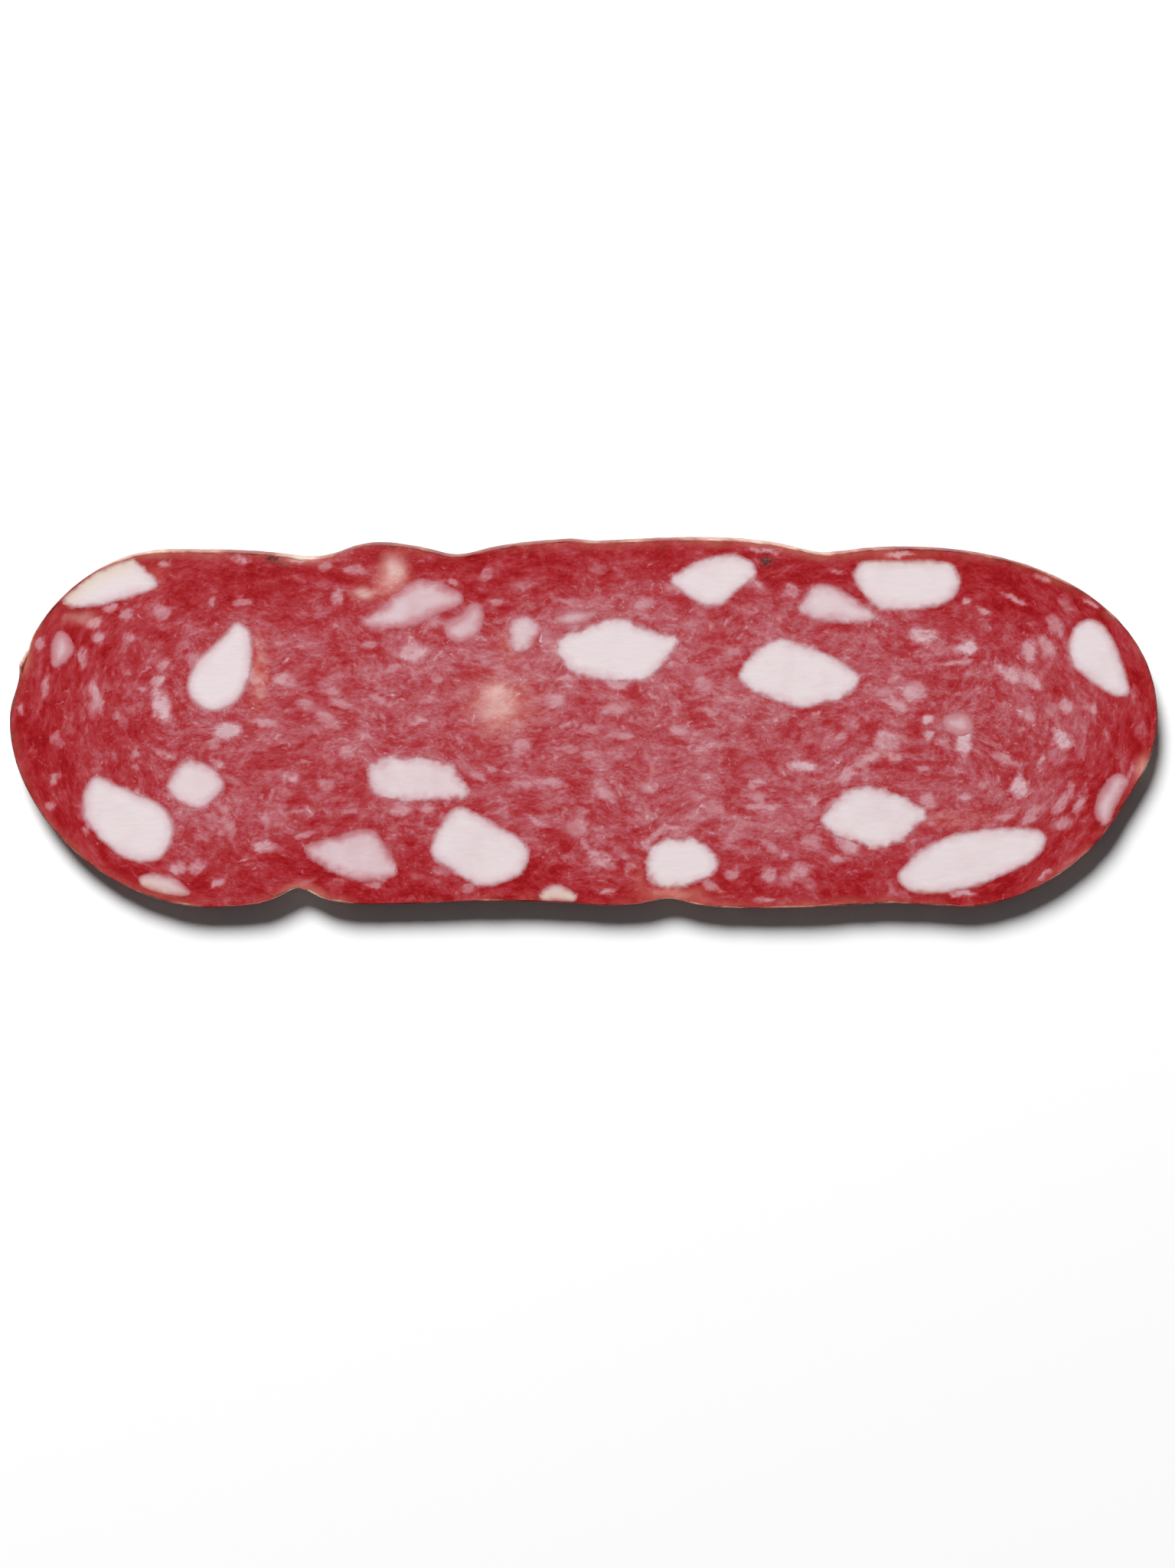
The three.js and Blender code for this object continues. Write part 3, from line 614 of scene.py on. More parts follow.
print("mince:", len(shaped.vertices), "points,", sum(len(p.vertices) - 2 for p in shaped.polygons), "triangles")

# %% [markdown]
# ## What the mince's pattern needs to know
#
# A material can't ask how far it is from the rim or from a die, but the mesh can carry the answer as an
# attribute: one number for each point, which the material reads back smoothly between points. Distances
# make good attributes, because they change evenly, so an edge drawn where a distance is zero is sharp
# even on a coarse mesh.
#
# The strands need directions. In the middle of the slice they follow X. Round the ends they follow
# circles, so there the pattern reads the angle and the radius about the end of the spine instead.


# %% Attributes
def attribute(made, name, values, kind="FLOAT"):
    """Stores one number, or one vector, for each point of a mesh."""
    layer = made.data.attributes.new(name, kind, "POINT")
    field = "value" if kind == "FLOAT" else "vector"
    layer.data.foreach_set(field, np.ascontiguousarray(values, dtype=np.float32).ravel())


def points_of(made):
    """The mesh's points in millimetres, as three columns."""
    points = np.empty(len(made.data.vertices) * 3)
    made.data.vertices.foreach_get("co", points)
    return points.reshape(-1, 3).T / MM


STRAND_RADIUS = 14.0  # round the ends, an angle times this counts as a length along the strand
x, y, z = points_of(mince)
grain, pale = grain_field(x, y, z)
attribute(mince, "grain", grain)
attribute(mince, "grain_pale", pale)
attribute(mince, "rim_depth", loop_distance(rim_high[::4], x, y))

bend_x, bend_y = wandered(x, y, z, 1.6, 11.0, 21)
end_x = np.abs(bend_x) - SPINE + 4
turn = np.arctan2(bend_y, end_x) * STRAND_RADIUS * np.sign(bend_x)
attribute(mince, "strand_middle", np.stack([bend_x, bend_y, z], axis=-1), "FLOAT_VECTOR")
around = np.stack([turn + 200 * np.sign(bend_x), np.hypot(end_x, bend_y), z], axis=-1)
attribute(mince, "strand_end", around, "FLOAT_VECTOR")
attribute(mince, "end_share", smooth_step(SPINE - 8, SPINE + 4, np.abs(x)))

# %% [markdown]
# ### The nearest die
#
# Lean and fat are smeared into each other at a die's edge, so the mince has to know which die is nearest,
# how far away it is, and how pink and ragged that die is. The lists give each die its own look: thin and
# small ones let the lean show through and come out pink, and those that dried beside the casing are
# yellower.

# %% How far a point is from the nearest die
# How pink each die is, in the order of their numbers.
PINK = [
    0.05, 0.0, 0.0, 0.65, 0.25, 0.4, 0.5, 0.25, 0.05, 0.55, 0.65, 0.4, 0.0, 0.6, 0.0, 0.0, 0.35, 0.0, 0.0,
    0.1, 0.0, 0.0, 0.55, 0.35, 0.6, 0.6, 0.7,
]  # fmt: skip
# How ragged each die's edge is. Most are 1.
RAGGED = {
    1: 0.7, 3: 0.8, 5: 1.4, 7: 1.5, 8: 2.0, 10: 1.5, 12: 1.6, 13: 1.4, 16: 1.3, 17: 1.3, 19: 0.8, 20: 1.7,
    22: 1.6,
}  # fmt: skip
# How yellow each die has dried beside the casing. Most have by 0.6.
YELLOW = {23: 0.05, 13: 0.2, 17: 0.3}
FACES = (0, 1)  # the lower and the upper face

FAR = 9.0  # a distance that counts as far away
DIE_REACH = 14.0  # points further than this from a die's middle are not near it


def nearest_die(x, y, z):
    """Each point's distance from the nearest die's outline on its own face, and that die's number."""
    nearest, number = np.full(len(x), FAR), np.ones(len(x), int)
    for (i, (heights, loops)), face in product(enumerate(dice.values(), 1), FACES):
        if not reaches(heights)[face]:
            continue
        away = np.hypot(*(np.stack([x, y]) - loops[face].mean(axis=0)[:, None]))
        near = ((z > THICKNESS / 2) == bool(face)) & (away < DIE_REACH)
        distance = loop_distance(loops[face][::2], x[near], y[near])
        closer = distance < nearest[near]
        nearest[near] = np.where(closer, distance, nearest[near])
        number[near] = np.where(closer, i, number[near])
    return nearest, number


outside_fat, nearest_number = nearest_die(x, y, z)
attribute(mince, "outside_fat", np.minimum(outside_fat, 3))
attribute(mince, "pink", np.array(PINK)[nearest_number - 1])
attribute(mince, "ragged", [RAGGED.get(i, 1.0) for i in nearest_number])
from_chips = [loop_distance(loops[1], x, y) for _, loops in chips.values()]
attribute(mince, "chip_distance", np.min(from_chips, axis=0))
print("mince within 1 mm of a die:", round(float((outside_fat < 1).mean()), 2))

# %% [markdown]
# ### Paler and darker regions
#
# Over a few centimetres the lean changes too. It is palest in the middle of the slice and darkest at the
# left end, where the sausage dried most. Each region is a soft bell-shaped spot, and all of them add up.

# %% Paler and darker regions
# place along and across, radius along and across, how much paler
REGIONS = [
    (-51, 1, 9, 13, -0.1), (0, 4, 15, 7, 0.05), (-14, -4, 6, 4, 0.05), (16, -11, 8, 4, 0.04),
    (-14, -13, 6, 3, -0.06), (-36, 13, 8, 3, -0.07), (46, 12, 5, 4, -0.07), (5, 13, 6, 3, 0.05),
    (-28, -6, 9, 6, -0.04), (55, -5, 4, 6, -0.05), (26, -4, 9, 5, -0.02), (36, 15, 5, 2, -0.04),
]  # fmt: skip


def bell(x, y, at_x, at_y, wide, tall):
    """exp(-d^2), where d is the distance from a place, along and across in units of two radii."""
    return np.exp(-(((x - at_x) / wide) ** 2) - ((y - at_y) / tall) ** 2)


region = sum(paler * bell(x, y, *spot) for *spot, paler in REGIONS)
attribute(mince, "region", region)
print("paleness of the regions: from", round(float(region.min()), 2), "to", round(float(region.max()), 2))

# %% [markdown]
# ### Stains
#
# A few places in the lean are lighter and more orange, where a die lies just under the cut face or where
# paprika fat has soaked out of one. Each stain is a soft bell-shaped spot, and some have a pale core.

# %% Stains
# place along and across, radius along and across, strength, paleness of the core
STAINS = [
    (-8.7, 1.6, 2.7, 2.5, 0.9, 0.5), (-9.0, 3.3, 1.1, 0.7, 0.5, 0.6), (-33.9, 5.0, 0.9, 3.4, 0.7, 0.0),
    (-19.9, 15.8, 1.4, 1.9, 0.6, 0.9), (-20.2, 14.2, 2.1, 1.2, 0.6, 0.1), (-23.0, 13.3, 1.3, 0.7, 0.4, 0.8),
    (9.5, -18.0, 3.2, 0.7, 0.9, 0.2), (6.0, -16.6, 0.7, 1.4, 0.4, 0.1), (-45.0, 15.5, 1.2, 0.9, 0.5, 0.0),
    (-52.5, 10.8, 2.2, 0.8, 0.3, 0.3), (-7.4, 8.3, 1.5, 1.6, 0.4, 0.1), (13.4, 9.7, 0.3, 0.3, 0.8, 0.2),
    (20.3, 10.6, 0.3, 0.3, 0.8, 0.0), (7.2, -5.1, 0.3, 0.3, 0.5, 0.2), (31.9, -3.7, 0.3, 0.3, 0.9, 0.0),
    (38.2, -10.2, 4.5, 0.8, 0.3, 0.0), (58.6, -5.0, 0.8, 1.3, 0.9, 0.5), (33.0, 17.2, 5.0, 0.7, 0.4, 0.0),
]  # fmt: skip
stain_x, stain_y = wandered(x, y, z, 0.5, 1.6, 31)
stain, core = np.zeros(len(x)), np.zeros(len(x))
for *spot, strength, pale_core in STAINS:
    share = bell(stain_x, stain_y, *spot)
    stain += strength * share
    core += pale_core * share**2
attribute(mince, "stain", np.clip(stain, 0, 1))
attribute(mince, "stain_core", np.clip(core, 0, 1))
print("stained share of the mince:", round(float((stain > 0.3).mean()), 3))

# %% [markdown]
# ## The dice of back fat
#
# Back fat is firm and waxy. The knife cut it flush with the lean, so each die's face carries on the lean's
# own face at its edge and is calmer in its middle. A die is one closed surface: rings that shrink from its
# upper outline to its middle, a wall down to its lower outline, and rings that shrink again. It is a few
# hundredths of a millimetre wider than its seat, so that no slit shows round it.

# %% Dice
RING_SCALES = np.array([1.0, 0.985, 0.96, 0.92, 0.86, 0.76, 0.62, 0.46, 0.3, 0.15, 0.04])
OVERLAP = 0.04
PROUD = 0.006  # how far the fat stands over the lean at its edge
WALL_STEPS = 4


def die_rings(heights, loops, face):
    """Rings at scales s about the middle. The height is the slice's own face with its fine unevenness
    turned down to s^4, or the die's own height where it ends inside the slice."""
    middle = loops[face].mean(axis=0)
    flat = middle + (grown(loops[face], OVERLAP) - middle) * RING_SCALES[:, None, None]
    if reaches(heights)[face]:
        surface = upper_face if face else lower_face
        height = surface(flat[..., 0], flat[..., 1], RING_SCALES[:, None] ** 4) + (PROUD if face else -PROUD)
    else:
        height = np.full(flat.shape[:2], heights[face])
    return np.concatenate([flat, height[..., None]], axis=-1)


def fat_die(name, heights, loops):
    """A closed surface: the lower rings from the middle out, the wall, and the upper rings back in."""
    lower, upper = [die_rings(heights, loops, face) for face in FACES]
    wall = [lower[0] + (upper[0] - lower[0]) * t for t in np.linspace(0, 1, WALL_STEPS + 2)[1:-1]]
    die = tube(name, np.concatenate([lower[::-1], wall, upper]))
    die.data.set_sharp_from_angle(angle=SHARP)
    return die


def loop_area(loop):
    """Half the sum of the cross products of neighbouring points."""
    after = np.roll(loop, -1, axis=0)
    return 0.5 * float((loop[:, 0] * after[:, 1] - loop[:, 1] * after[:, 0]).sum())


die_pieces = {}
for number, (name, (heights, loops)) in enumerate(dice.items(), 1):
    die = fat_die(name.replace("fat_die", "back_fat"), heights, loops)
    px, py, pz = points_of(die)
    depths = [loop_distance(loops[face], px, py) for face in FACES]
    attribute(die, "outside_fat", -np.where(pz > THICKNESS / 2, depths[1], depths[0]))
    attribute(die, "rim_depth", np.minimum(loop_distance(rim_high[::4], px, py), FAR))
    attribute(die, "pink", np.full(len(px), PINK[number - 1]))
    attribute(die, "ragged", np.full(len(px), RAGGED.get(number, 1.0)))
    attribute(die, "yellow", np.full(len(px), YELLOW.get(number, 0.6)))
    die_pieces[name] = die
print("dice, mm2 of cut face:", [round(loop_area(loops[1])) for _, loops in dice.values()])

# %% [markdown]
# ## Cracked pepper
#
# A chip of a cracked peppercorn is a bit of wrinkled dark skin with a paler, broken inside. It is made
# like a die, and then every point is pushed about by coarse noise and left flat-shaded, which gives
# sharp broken faces.

# %% Pepper
CRUMPLE = np.array([0.12, 0.12, 0.14])  # how far noise pushes a chip's points along each axis, mm
CRUMPLE_PITCH = 0.4
chip_pieces = {}
for number, (name, (heights, loops)) in enumerate(chips.items(), 1):
    chip = fat_die(name.replace("pepper_chip", "cracked_pepper"), heights, loops)
    at = np.stack(points_of(chip), axis=-1)
    push = np.stack([noise(at / CRUMPLE_PITCH, 50 + i) for i in range(3)], axis=-1)
    chip.data.vertices.foreach_set("co", ((at + push * CRUMPLE) * MM).ravel())
    chip.data.polygons.foreach_set("use_smooth", [False] * len(chip.data.polygons))
    attribute(chip, "edge_distance", loop_distance(loops[1], at[:, 0], at[:, 1]))
    chip_pieces[name] = chip
print(len(chip_pieces), "chips")

# %% [markdown]
# ## The casing
#
# A natural casing is a membrane a few tenths of a millimetre thick, which dries on to the sausage and
# wrinkles. A section across it is a thin upright strip. We carry that strip round the rim and let noise
# change its thickness, its wrinkles and the height of its cut edge as it goes. At the left end the
# casing is torn: the strip stops, and the lower lip of the tear curls away.

# %% Casing
SECTION = np.array(
    [
        (0.5, 1.0), (0.85, 0.995), (1.0, 0.97), (1.02, 0.85), (1.04, 0.68), (1.04, 0.5), (1.04, 0.32),
        (1.02, 0.14), (1.0, 0.03), (0.8, 0.0), (0.3, 0.0), (0.02, 0.03), (0.0, 0.25), (0.0, 0.75),
        (0.02, 0.97), (0.15, 0.995),
    ]
)  # fmt: skip
TEAR_MIDDLE, TEAR_HALF = 6.6, 0.7  # the tear's height on the slice, and half its opening
TEAR_LIP, FLAP = 5.9, 2.4  # the top of the loose flap, and how long it is
FLAP_LIFT = 0.5  # how far the flap's end stands off
FLAP_POINTS = 60  # the flap is among this many of the first sections


def casing_grid():
    """One section for each point of the rim: (0 to 1 through the wall, 0 to 1 up it) becomes a place by
    going inwards from the rim by the wall's thickness, and from the lower rim to the upper."""
    left = rim_high[:, 0] < -0.4 * LENGTH
    start = np.argmax(left & (rim_high[:, 1] < TEAR_LIP))
    order = (np.arange(RIM_POINTS) + start) % RIM_POINTS
    order = order[~(left & (np.abs(rim_high[:, 1] - TEAR_MIDDLE) < TEAR_HALF))[order]]
    top, foot, out = rim_high[order], rim_low[order], outward(rim_high)[order]
    path = np.column_stack([top, np.zeros(len(top))])
    wall = WALL * (0.8 + 0.5 * noise(path / 1.7, 61) + 0.7 * noise(path / 6.5, 62))
    wrinkle = 0.07 * rough_noise(path / [1.3, 1.3, 1], 3, 63)
    edge = 0.16 * noise(path / 2.6, 64) - 0.05
    lip = np.clip((top[:, 1] - TEAR_LIP + FLAP) / FLAP, 0, 1) * (np.arange(len(top)) < FLAP_POINTS)
    through, up = SECTION.T
    shift = wrinkle[:, None] * (0.4 + 0.6 * np.sin(9 * up + 5 * noise(path / 2, 65)[:, None]))
    shift = shift + FLAP_LIFT * (lip**2)[:, None] - wall[:, None] * (1 - through)
    flat = foot[:, None] + (top - foot)[:, None] * up[:, None] + out[:, None] * shift[..., None]
    height = up * (THICKNESS + edge[:, None] * smooth_step(0.6, 1, up))
    return np.concatenate([flat, height[..., None]], axis=-1)


casing_points = casing_grid()
casing = tube("natural_casing", casing_points)
print("casing:", casing_points.shape[:2], "points along and across")

# %% [markdown]
# ### Where the casing is thick and pale
#
# Most of the casing is so thin that the red meat shows through. Where it is folded, torn or bunched up
# by a string it is thicker and cream. Each row below is one such stretch of the rim.

# %% Pale stretches of the casing
# its middle, as rim_place counts, how far it reaches each way, and how pale it is
PALE_STRETCHES = [
    (183, 17, 0.9), (160, 3, 1.0), (128, 14, 0.45), (110, 8, 0.8), (60, 28, 0.4), (508, 5, 1.0),
    (418, 16, 0.4), (364, 4, 1.0), (316, 30, 0.35), (402, 4, 0.5), (342, 5, 0.5), (470, 14, 0.3),
    (243, 4, 0.9), (240, 40, 0.3), (570, 30, 0.25),
]  # fmt: skip


def casing_paleness(points):
    """The sum of a bell for each pale stretch, with noise."""
    place = rim_place(points)
    bells = [pale * np.exp(-(((place - middle) / reach) ** 2)) for middle, reach, pale in PALE_STRETCHES]
    path = np.column_stack([points, np.zeros(len(points))])
    return np.clip(0.8 * sum(bells) + 0.05 + 0.5 * rough_noise(path / 2.4, 3, 71), 0, 1)


casing_at = points_of(casing)
attribute(casing, "pale", casing_paleness(casing_at[:2].T))
attribute(mince, "casing_pale", casing_paleness(np.stack([x, y], axis=-1)))
print("mean paleness of the casing:", round(float(casing_paleness(rim_high).mean()), 2))

# %% [markdown]
# ## Writing a material as sums
#
# A pattern is easier to read as arithmetic than as a web of nodes. A `Signal` stands for the output of a
# node, and +, -, * and / on it add a Math node. Colours are mixed by a Mix node, because a Math node would
# turn a colour grey.


# %% Shader arithmetic
class Signal:
    """One output of a node, in the material that made it."""

    def __init__(self, shader, socket):
        self.shader, self.socket = shader, socket

    def math(self, operation, *values):
        return self.shader.node("ShaderNodeMath", {"operation": operation}, dict(enumerate(values)))

    def __add__(self, other):
        return self.math("ADD", self, other)

    def __sub__(self, other):
        return self.math("SUBTRACT", self, other)

    def __rsub__(self, other):
        return self.math("SUBTRACT", other, self)

    def __mul__(self, other):
        return self.math("MULTIPLY", self, other)

    def step(self, low_end, high_end):
        """From 0 to 1 in a smooth step between two values of this signal."""
        settings = {"interpolation_type": "SMOOTHSTEP"}
        return self.shader.node("ShaderNodeMapRange", settings, {0: self, 1: low_end, 2: high_end})

    def clamped(self):
        return self.shader.node("ShaderNodeClamp", {}, {0: self})

    __radd__, __rmul__ = __add__, __mul__


class Shader:
    """A material, and the one way that nodes are added to it."""

    def __init__(self, name):
        self.material = bpy.data.materials.new(name)
        self.material.use_nodes = True
        self.tree = self.material.node_tree
        self.surface = self.tree.nodes["Principled BSDF"]
        whole = self.node("ShaderNodeTexCoord", {}, {}, "Object")
        self.place = self.scaled(whole, (1 / MM, 1 / MM, 1 / MM))  # millimetres

    def node(self, kind, settings, inputs, output=0):
        """Adds a node: its settings first, with a ramp's stops among them, then its inputs' values or
        links. Gives back one of its outputs."""
        made = self.tree.nodes.new(kind)
        for key, value in settings.items():
            if key == "stops":
                self.set_stops(made.color_ramp, value)
            else:
                setattr(made, key, value)
        for key, value in inputs.items():
            self.connect(made.inputs[key], value)
        return Signal(self, made.outputs[output])

    def set_stops(self, ramp, stops):
        for i, (place, colour) in enumerate(stops):
            stop = ramp.elements[i] if i < 2 else ramp.elements.new(place)
            stop.position, stop.color = place, (*srgb(*colour), 1)

    def connect(self, socket, value):
        if isinstance(value, Signal):
            self.tree.links.new(value.socket, socket)
        else:
            socket.default_value = (*value, 1) if socket.type == "RGBA" else value

    def set(self, **inputs):
        """Values or links for the material's surface, with _ for a space in a socket's name."""
        for key, value in inputs.items():
            self.connect(self.surface.inputs[key.replace("_", " ")], value)

    def attribute(self, name, output="Fac"):
        return self.node("ShaderNodeAttribute", {"attribute_name": name}, {}, output)

    def scaled(self, vector, scale, shift=(0, 0, 0)):
        """A vector times three numbers, plus three numbers."""
        inputs = {0: vector, 1: scale, 2: shift}
        return self.node("ShaderNodeVectorMath", {"operation": "MULTIPLY_ADD"}, inputs)

    def noise(self, vector, scale, detail=2.0, roughness=0.5):
        """Noise about 0, with a standard deviation of about 0.12."""
        inputs = {"Vector": vector, "Scale": scale, "Detail": detail, "Roughness": roughness}
        return self.node("ShaderNodeTexNoise", {}, inputs) - 0.5

    def ramp(self, factor, stops):
        return self.node("ShaderNodeValToRGB", {"stops": stops}, {0: factor})

    def mix(self, factor, a, b):
        return self.node("ShaderNodeMix", {"data_type": "RGBA"}, {0: factor, 6: a, 7: b}, output=2)

    def blend(self, factor, a, b):
        """From one number to another."""
        return self.node("ShaderNodeMix", {"data_type": "FLOAT"}, {0: factor, 2: a, 3: b})

    def bump(self, height, strength, distance):
        inputs = {"Height": height, "Strength": strength, "Distance": distance}
        return self.node("ShaderNodeBump", {}, inputs)


def srgb(red, green, blue):
    """A screen colour, 0 to 255, as the linear light that Blender's sockets take."""
    c = np.array([red, green, blue]) / 255
    return tuple(np.where(c <= 0.04045, c / 12.92, ((c + 0.055) / 1.055) ** 2.4).tolist())


# %% [markdown]
# ## The edge between fat and lean
#
# The mince and a die are separate bodies, but on the cut face they are smeared into each other, and the
# edge is soft and ragged. Both carry one attribute, how far a point is outside the fat, which is negative
# inside a die. Both materials add the same noise to it and step across zero over half a millimetre, so
# the edge that shows wanders over the seam, and the seam itself doesn't show.
#
# The dice are cream to rose, with faint clouds, and pinker towards their edges.

# %% Fat on the cut face
FAT_STOPS = [(0.0, (222, 209, 211)), (0.35, (215, 194, 198)), (0.7, (204, 170, 175)), (1.0, (192, 132, 139))]
EDGE_OUT, EDGE_IN = 0.3, -0.42  # where fat starts to show, and where it is all fat, mm


def fat_share(shader):
    """How much a place is fat, and how far out of the fat it is with the noise added."""
    coarse = shader.noise(shader.place, 0.8, 2.0, 0.6)
    fine = shader.noise(shader.scaled(shader.place, (0.75, 1.25, 1)), 2.6, 3.0, 0.65)
    wander = (coarse * 0.75 + fine * 0.2) * shader.attribute("ragged")
    outside = shader.attribute("outside_fat") + wander
    return outside.step(EDGE_OUT, EDGE_IN), outside


def fat_tone(shader, outside):
    """Cream in the middle of a die, pinker near its edge, with soft clouds and faint lines."""
    clouds = shader.noise(shader.place, 0.3, 3.0, 0.55)
    lines = shader.noise(shader.scaled(shader.place, (0.5, 1.6, 1.0)), 1.1, 3.0, 0.6)
    edge = outside.step(-1.3, 0.25) * 0.65
    tint = shader.attribute("pink") + edge + clouds * 0.7 + lines * 0.15
    return shader.ramp(tint.clamped(), FAT_STOPS), clouds + lines


# %% [markdown]
# ## The lean's colour
#
# From lean to fat the colour runs along one line: dark red, red, rose, pink, cream. So the material works
# out a single number, how pale each place is, and a ramp turns it into a colour. Several things add up in
# it. The lean is darkest at the rim, where it dried first. Noise stretched along the strands gives the
# streaks, and finer noise gives the fibres.

# %% Strands
lean = Shader("cured_lean")
LEAN_STOPS = [
    (0.0, (140, 6, 13)),
    (0.14, (156, 24, 31)),
    (0.3, (166, 54, 61)),
    (0.45, (176, 90, 98)),
    (0.62, (189, 126, 133)),
    (0.8, (204, 166, 172)),
    (1.0, (220, 204, 208)),
]
middle = lean.attribute("strand_middle", "Vector")
end = lean.attribute("strand_end", "Vector")
end_share = lean.attribute("end_share")


def strand_noise(stretch, scale, detail, roughness, shift):
    """Noise stretched along the strands, from the middle's directions to the ends'. Where the two meet
    both are weaker, so the difference is made up."""
    layers = []
    for vector in (middle, end):
        place = lean.scaled(vector, (1 / stretch, 1, 0.6), (shift, shift, shift))
        layers.append(lean.noise(place, scale, detail, roughness))
    overlap = end_share * (1 - end_share)
    return lean.blend(end_share, *layers) * (1 + overlap * 1.6)


patches = strand_noise(1.5, 0.42, 2.0, 0.6, 3.0)
streaks = strand_noise(1.8, 0.95, 4.0, 0.72, 40.0)
fibres = strand_noise(1.4, 3.0, 3.0, 0.7, 80.0)
broad = lean.noise(lean.place, 0.11, 2.0, 0.5)
rim_depth = lean.attribute("rim_depth")
dryness = rim_depth.step(0.3, 9.0)
ground = 0.165 + dryness * 0.2 + lean.attribute("region")
paleness = ground + broad * 0.25 + patches * 0.52 + streaks * 0.85 + fibres * 0.38
print("lean: nodes so far", len(lean.tree.nodes))


# %% [markdown]
# ### The smallest flecks
#
# The finest fat is too small and too many to place by hand. A Voronoi pattern gives a field of cells with
# a random colour each. The colour picks which cells hold a fleck and how pale it is, and the distance
# from the cell's middle gives the fleck's soft edge. Noise bends the field first, so that no two flecks
# have the same shape. The finest, sparsest field is no fat: its tiny pale flecks are painted highlights,
# glints of the lean's moist sheen.

# %% The smallest flecks
warp = lean.node("ShaderNodeTexNoise", {}, {"Vector": lean.place, "Scale": 0.8, "Detail": 3.0}, "Color")


def flecks(scale, size, share, shift, stretch=1.7):
    """Soft spots, one in some of the cells of a stretched Voronoi pattern that noise has bent."""
    cells = []
    for vector in (middle, end):
        bent = lean.scaled(warp, (2.4, 2.4, 0), vector)
        place = lean.scaled(bent, (1 / stretch, 1, 0.8), (shift, shift, shift))
        voronoi = lean.node("ShaderNodeTexVoronoi", {}, {"Vector": place, "Scale": scale, "Randomness": 1.0})
        colour = Signal(lean, voronoi.socket.node.outputs["Color"])
        luck = lean.node("ShaderNodeSeparateColor", {}, {0: colour})
        chosen = luck.step(1 - share, 1 - share + 0.02)
        tone = Signal(lean, luck.socket.node.outputs[1])
        spot = (voronoi + streaks * 0.8 + fibres * 0.4).step(size * 1.2, size * 0.2)
        cells.append(spot * chosen * (0.4 + tone * 0.6))
    return lean.blend(end_share, *cells)


small = flecks(0.62, 0.42, 0.3, 11.0)
tiny = flecks(1.5, 0.45, 0.35, 23.0)
# Painted highlights: tiny pale glints of the lean's moist sheen, painted into its colour.
painted_glints = flecks(3.2, 0.45, 0.08, 57.0, 1.2)
grain = (lean.attribute("grain") * (1.05 + streaks * 1.6 + fibres * 1.4)).clamped()
grain_level = 0.4 + lean.attribute("grain_pale") * 0.42 + streaks * 0.4
paleness = paleness + small * 0.32 + tiny * 0.22 + painted_glints * 0.32
paleness = lean.blend(grain, paleness, grain_level)
colour = lean.ramp(paleness.clamped(), LEAN_STOPS)
print("lean: nodes with flecks", len(lean.tree.nodes))

# %% [markdown]
# ### Stains, smudges and the rim
#
# On top of the lean's own line of colours come the tints that don't lie on it: orange where fat and
# paprika have soaked in, a warm edge under the casing, and a brown smudge round each chip of pepper,
# where the knife dragged its dust.

# %% Stains, rim and finish
SOAKED_LEAN, SOAKED_FAT, STAIN_CORE = srgb(196, 92, 80), srgb(216, 160, 150), srgb(221, 189, 184)
PEPPER_DUST, UNDER_CASING = srgb(104, 40, 42), srgb(200, 132, 116)
soaked = lean.mix(paleness.step(0.15, 0.6), SOAKED_LEAN, SOAKED_FAT)
stained = lean.mix(lean.attribute("stain") * 0.8, colour, soaked)
stained = lean.mix(lean.attribute("stain_core") * 0.85, stained, STAIN_CORE)
dusty = (lean.attribute("chip_distance") + streaks * 6).step(0.9, -0.4)
dusted = lean.mix(dusty * 0.65, stained, PEPPER_DUST)
warm = (rim_depth + streaks * 1.5).step(1.2, 0.2) * lean.attribute("casing_pale")
edged = lean.mix(warm * 0.45, dusted, UNDER_CASING)
fat_here, outside = fat_share(lean)
fat_colour, _ = fat_tone(lean, outside)
lean.set(
    Base_Color=lean.mix(fat_here, edged, fat_colour),
    Roughness=0.46 + fibres * 0.3,
    Normal=lean.bump(streaks * 0.6 + fibres * 0.6, 0.35, 0.0002),
    Subsurface_Weight=0.15,
    Subsurface_Scale=0.0006,
    Subsurface_Radius=(1.0, 0.35, 0.25),
    Specular_IOR_Level=0.12,
)
mince.data.materials.append(lean.material)

# %% [markdown]
# ## The fat's finish
#
# A die is fat right up to the ragged edge, where a little lean is smeared over it. Near the casing fat
# yellows as it dries. Light goes some way into fat, so the surface scatters it softly.

# %% Fat
YELLOWED_FAT = srgb(218, 200, 176)
SMEAR_STOPS = [(0.2, (154, 38, 45)), (0.8, (180, 92, 98))]
fat = Shader("back_fat")
fat_here, outside = fat_share(fat)
fat_colour, relief = fat_tone(fat, outside)
yellowed = fat.attribute("rim_depth").step(2.4, 0.2) * fat.attribute("yellow")
fat_colour = fat.mix(yellowed, fat_colour, YELLOWED_FAT)
smeared = fat.ramp(0.5 + fat.noise(fat.place, 1.6, 3.0, 0.7) * 2, SMEAR_STOPS)
fat.set(
    Base_Color=fat.mix(fat_here, smeared, fat_colour),
    Roughness=0.44 + relief * 0.1,
    Normal=fat.bump(relief, 0.12, 0.0002),
    Subsurface_Weight=0.25,
    Subsurface_Scale=0.0009,
    Subsurface_Radius=(1.0, 0.7, 0.6),
    Specular_IOR_Level=0.18,
)
for die in die_pieces.values():
    die.data.materials.append(fat.material)

# %% [markdown]
# ## The casing's finish
#
# Thin casing is glassy, and the meat gives it a red-brown colour. Thick casing is cream, and the change
# goes through orange. Fine noise dries it out in places.

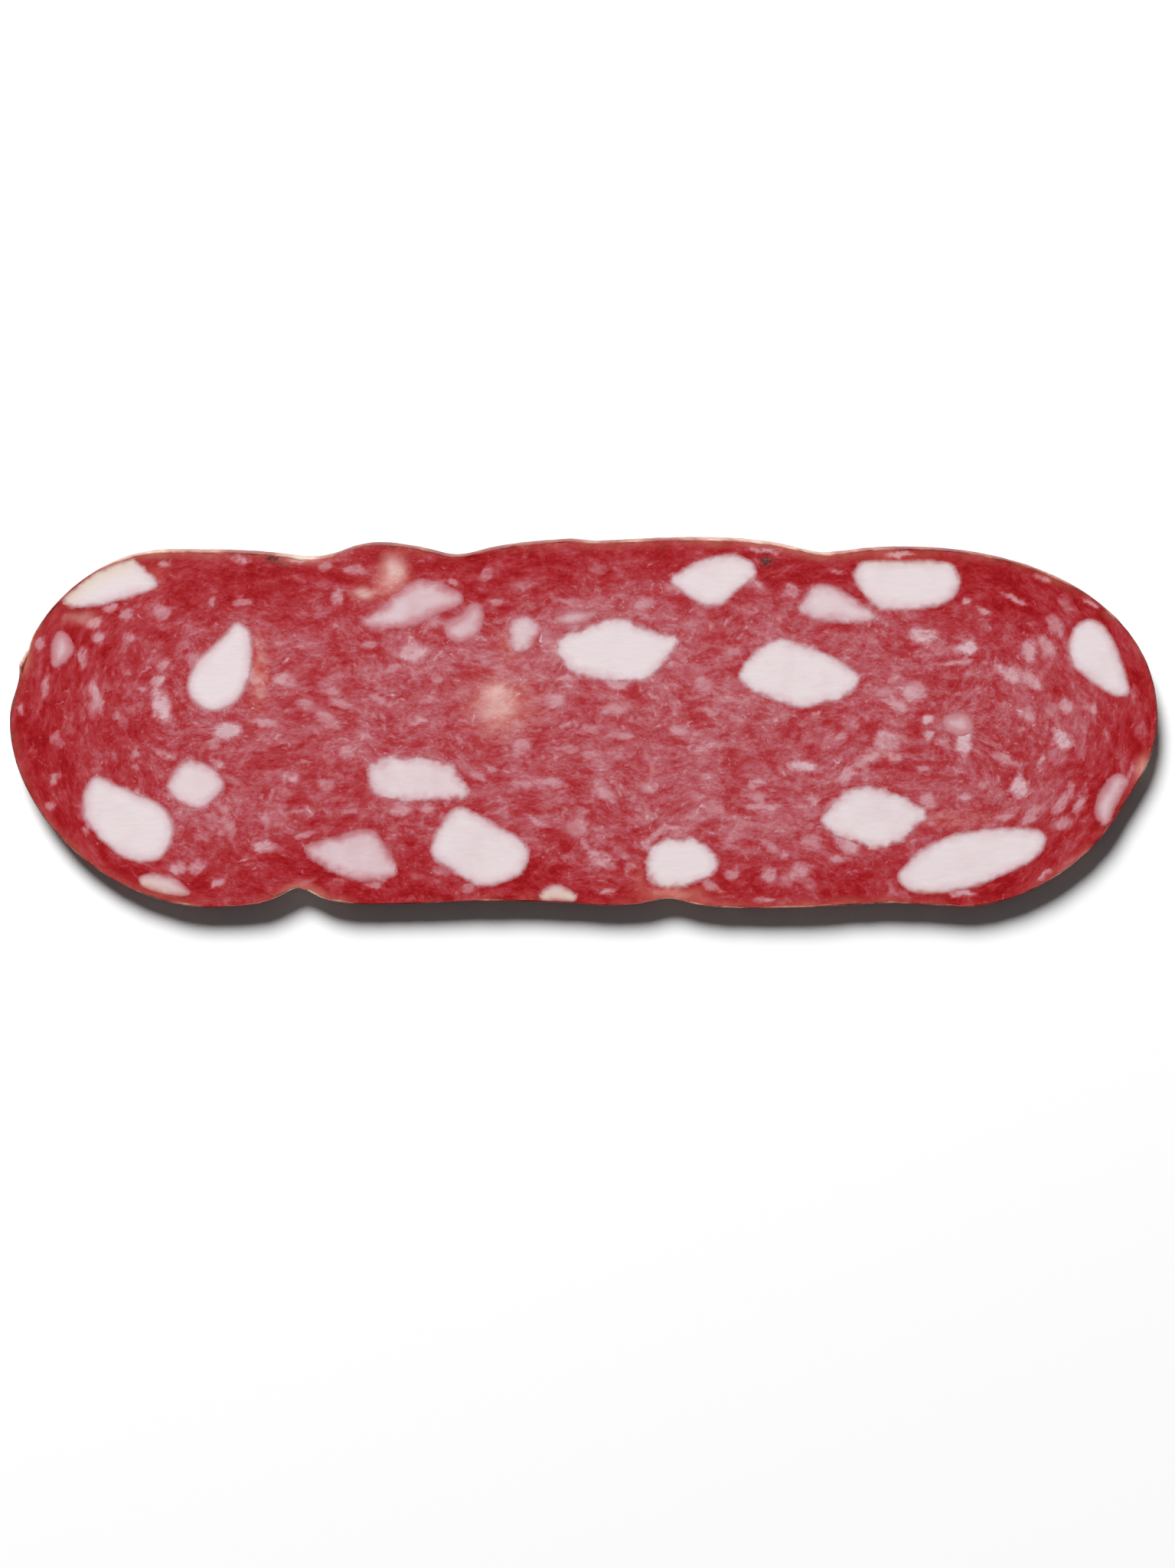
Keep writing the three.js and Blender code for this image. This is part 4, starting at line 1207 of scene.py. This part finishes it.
# %% Casing finish
skin = Shader("natural_casing")
fine = skin.noise(skin.place, 1.4, 3.0, 0.65)
mottle = skin.noise(skin.scaled(skin.place, (1, 1, 1.6)), 0.5, 3.0, 0.6)
CASING_STOPS = [(0.0, (122, 44, 42)), (0.3, (146, 80, 70)), (0.6, (180, 136, 122)), (1.0, (212, 196, 184))]
skin.set(
    Base_Color=skin.ramp((skin.attribute("pale") * 0.8 + mottle * 0.9 + fine * 0.55).clamped(), CASING_STOPS),
    Roughness=0.5 + fine * 0.4,
    Normal=skin.bump(fine, 0.4, 0.0002),
    Subsurface_Weight=0.25,
    Subsurface_Scale=0.0006,
    Subsurface_Radius=(1.0, 0.6, 0.45),
    Specular_IOR_Level=0.25,
)
casing.data.materials.append(skin.material)

# %% [markdown]
# ## The pepper's finish
#
# The skin of a peppercorn is nearly black, and its broken inside is brown. Noise picks between the two.
# Towards its edge the chip is smeared with lean.

# %% Pepper finish
husk = Shader("pepper_husk")
speckle = husk.noise(husk.place, 2.2, 3.0, 0.6)
HUSK_STOPS = [(0.35, (56, 38, 36)), (0.55, (92, 54, 50)), (0.7, (132, 88, 82))]
SMEARED_HUSK = srgb(112, 46, 46)
bare = (husk.attribute("edge_distance") + speckle * 1.2).step(0.0, 0.35)
husk.set(
    Base_Color=husk.mix(bare, SMEARED_HUSK, husk.ramp(0.5 + speckle, HUSK_STOPS)),
    Roughness=0.8 + speckle * 0.3,
    Normal=husk.bump(speckle, 0.6, 0.0002),
    Specular_IOR_Level=0.2,
)
for chip in chip_pieces.values():
    chip.data.materials.append(husk.material)

# %% [markdown]
# ## The floor
#
# A pale matt floor, just under the slice and large enough to fill any view. It isn't part of the object,
# so it is staged: it shows in the picture and isn't exported.

# %% Floor
FLOOR_SIZE = 3000.0  # each way from the middle
FLOOR_DROP = 0.01
FLOOR_WHITE = 0.94
floor_corners = np.array([(-1, -1, 0), (1, -1, 0), (1, 1, 0), (-1, 1, 0)]) * FLOOR_SIZE
ground = piece("floor", floor_corners - [0, 0, FLOOR_DROP], [(0, 1, 2, 3)])
paper = Shader("white_floor")
paper.set(Base_Color=(FLOOR_WHITE,) * 3, Roughness=1.0, Specular_IOR_Level=0.0)
ground.data.materials.append(paper.material)

# %% [markdown]
# ## What each piece stands for
#
# Each piece made here replaces one node of the CAD model, which stays for collision. The slice has no
# joints, so every piece rides on the one body, "root". Each piece's slot, the record's material it would
# take its finish from, is looked up but not stored.

# %% What each piece stands for
stands_for = {"lean_mince": mince, "casing": casing, **die_pieces, **chip_pieces}
slots = {"lean_mince": "lean", "casing": "casing"}
for node, made in stands_for.items():
    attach(made, "root")
    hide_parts(node)
    slots.get(node, "fat" if node in dice else "pepper")
print(len(stands_for), "pieces ride on the slice")
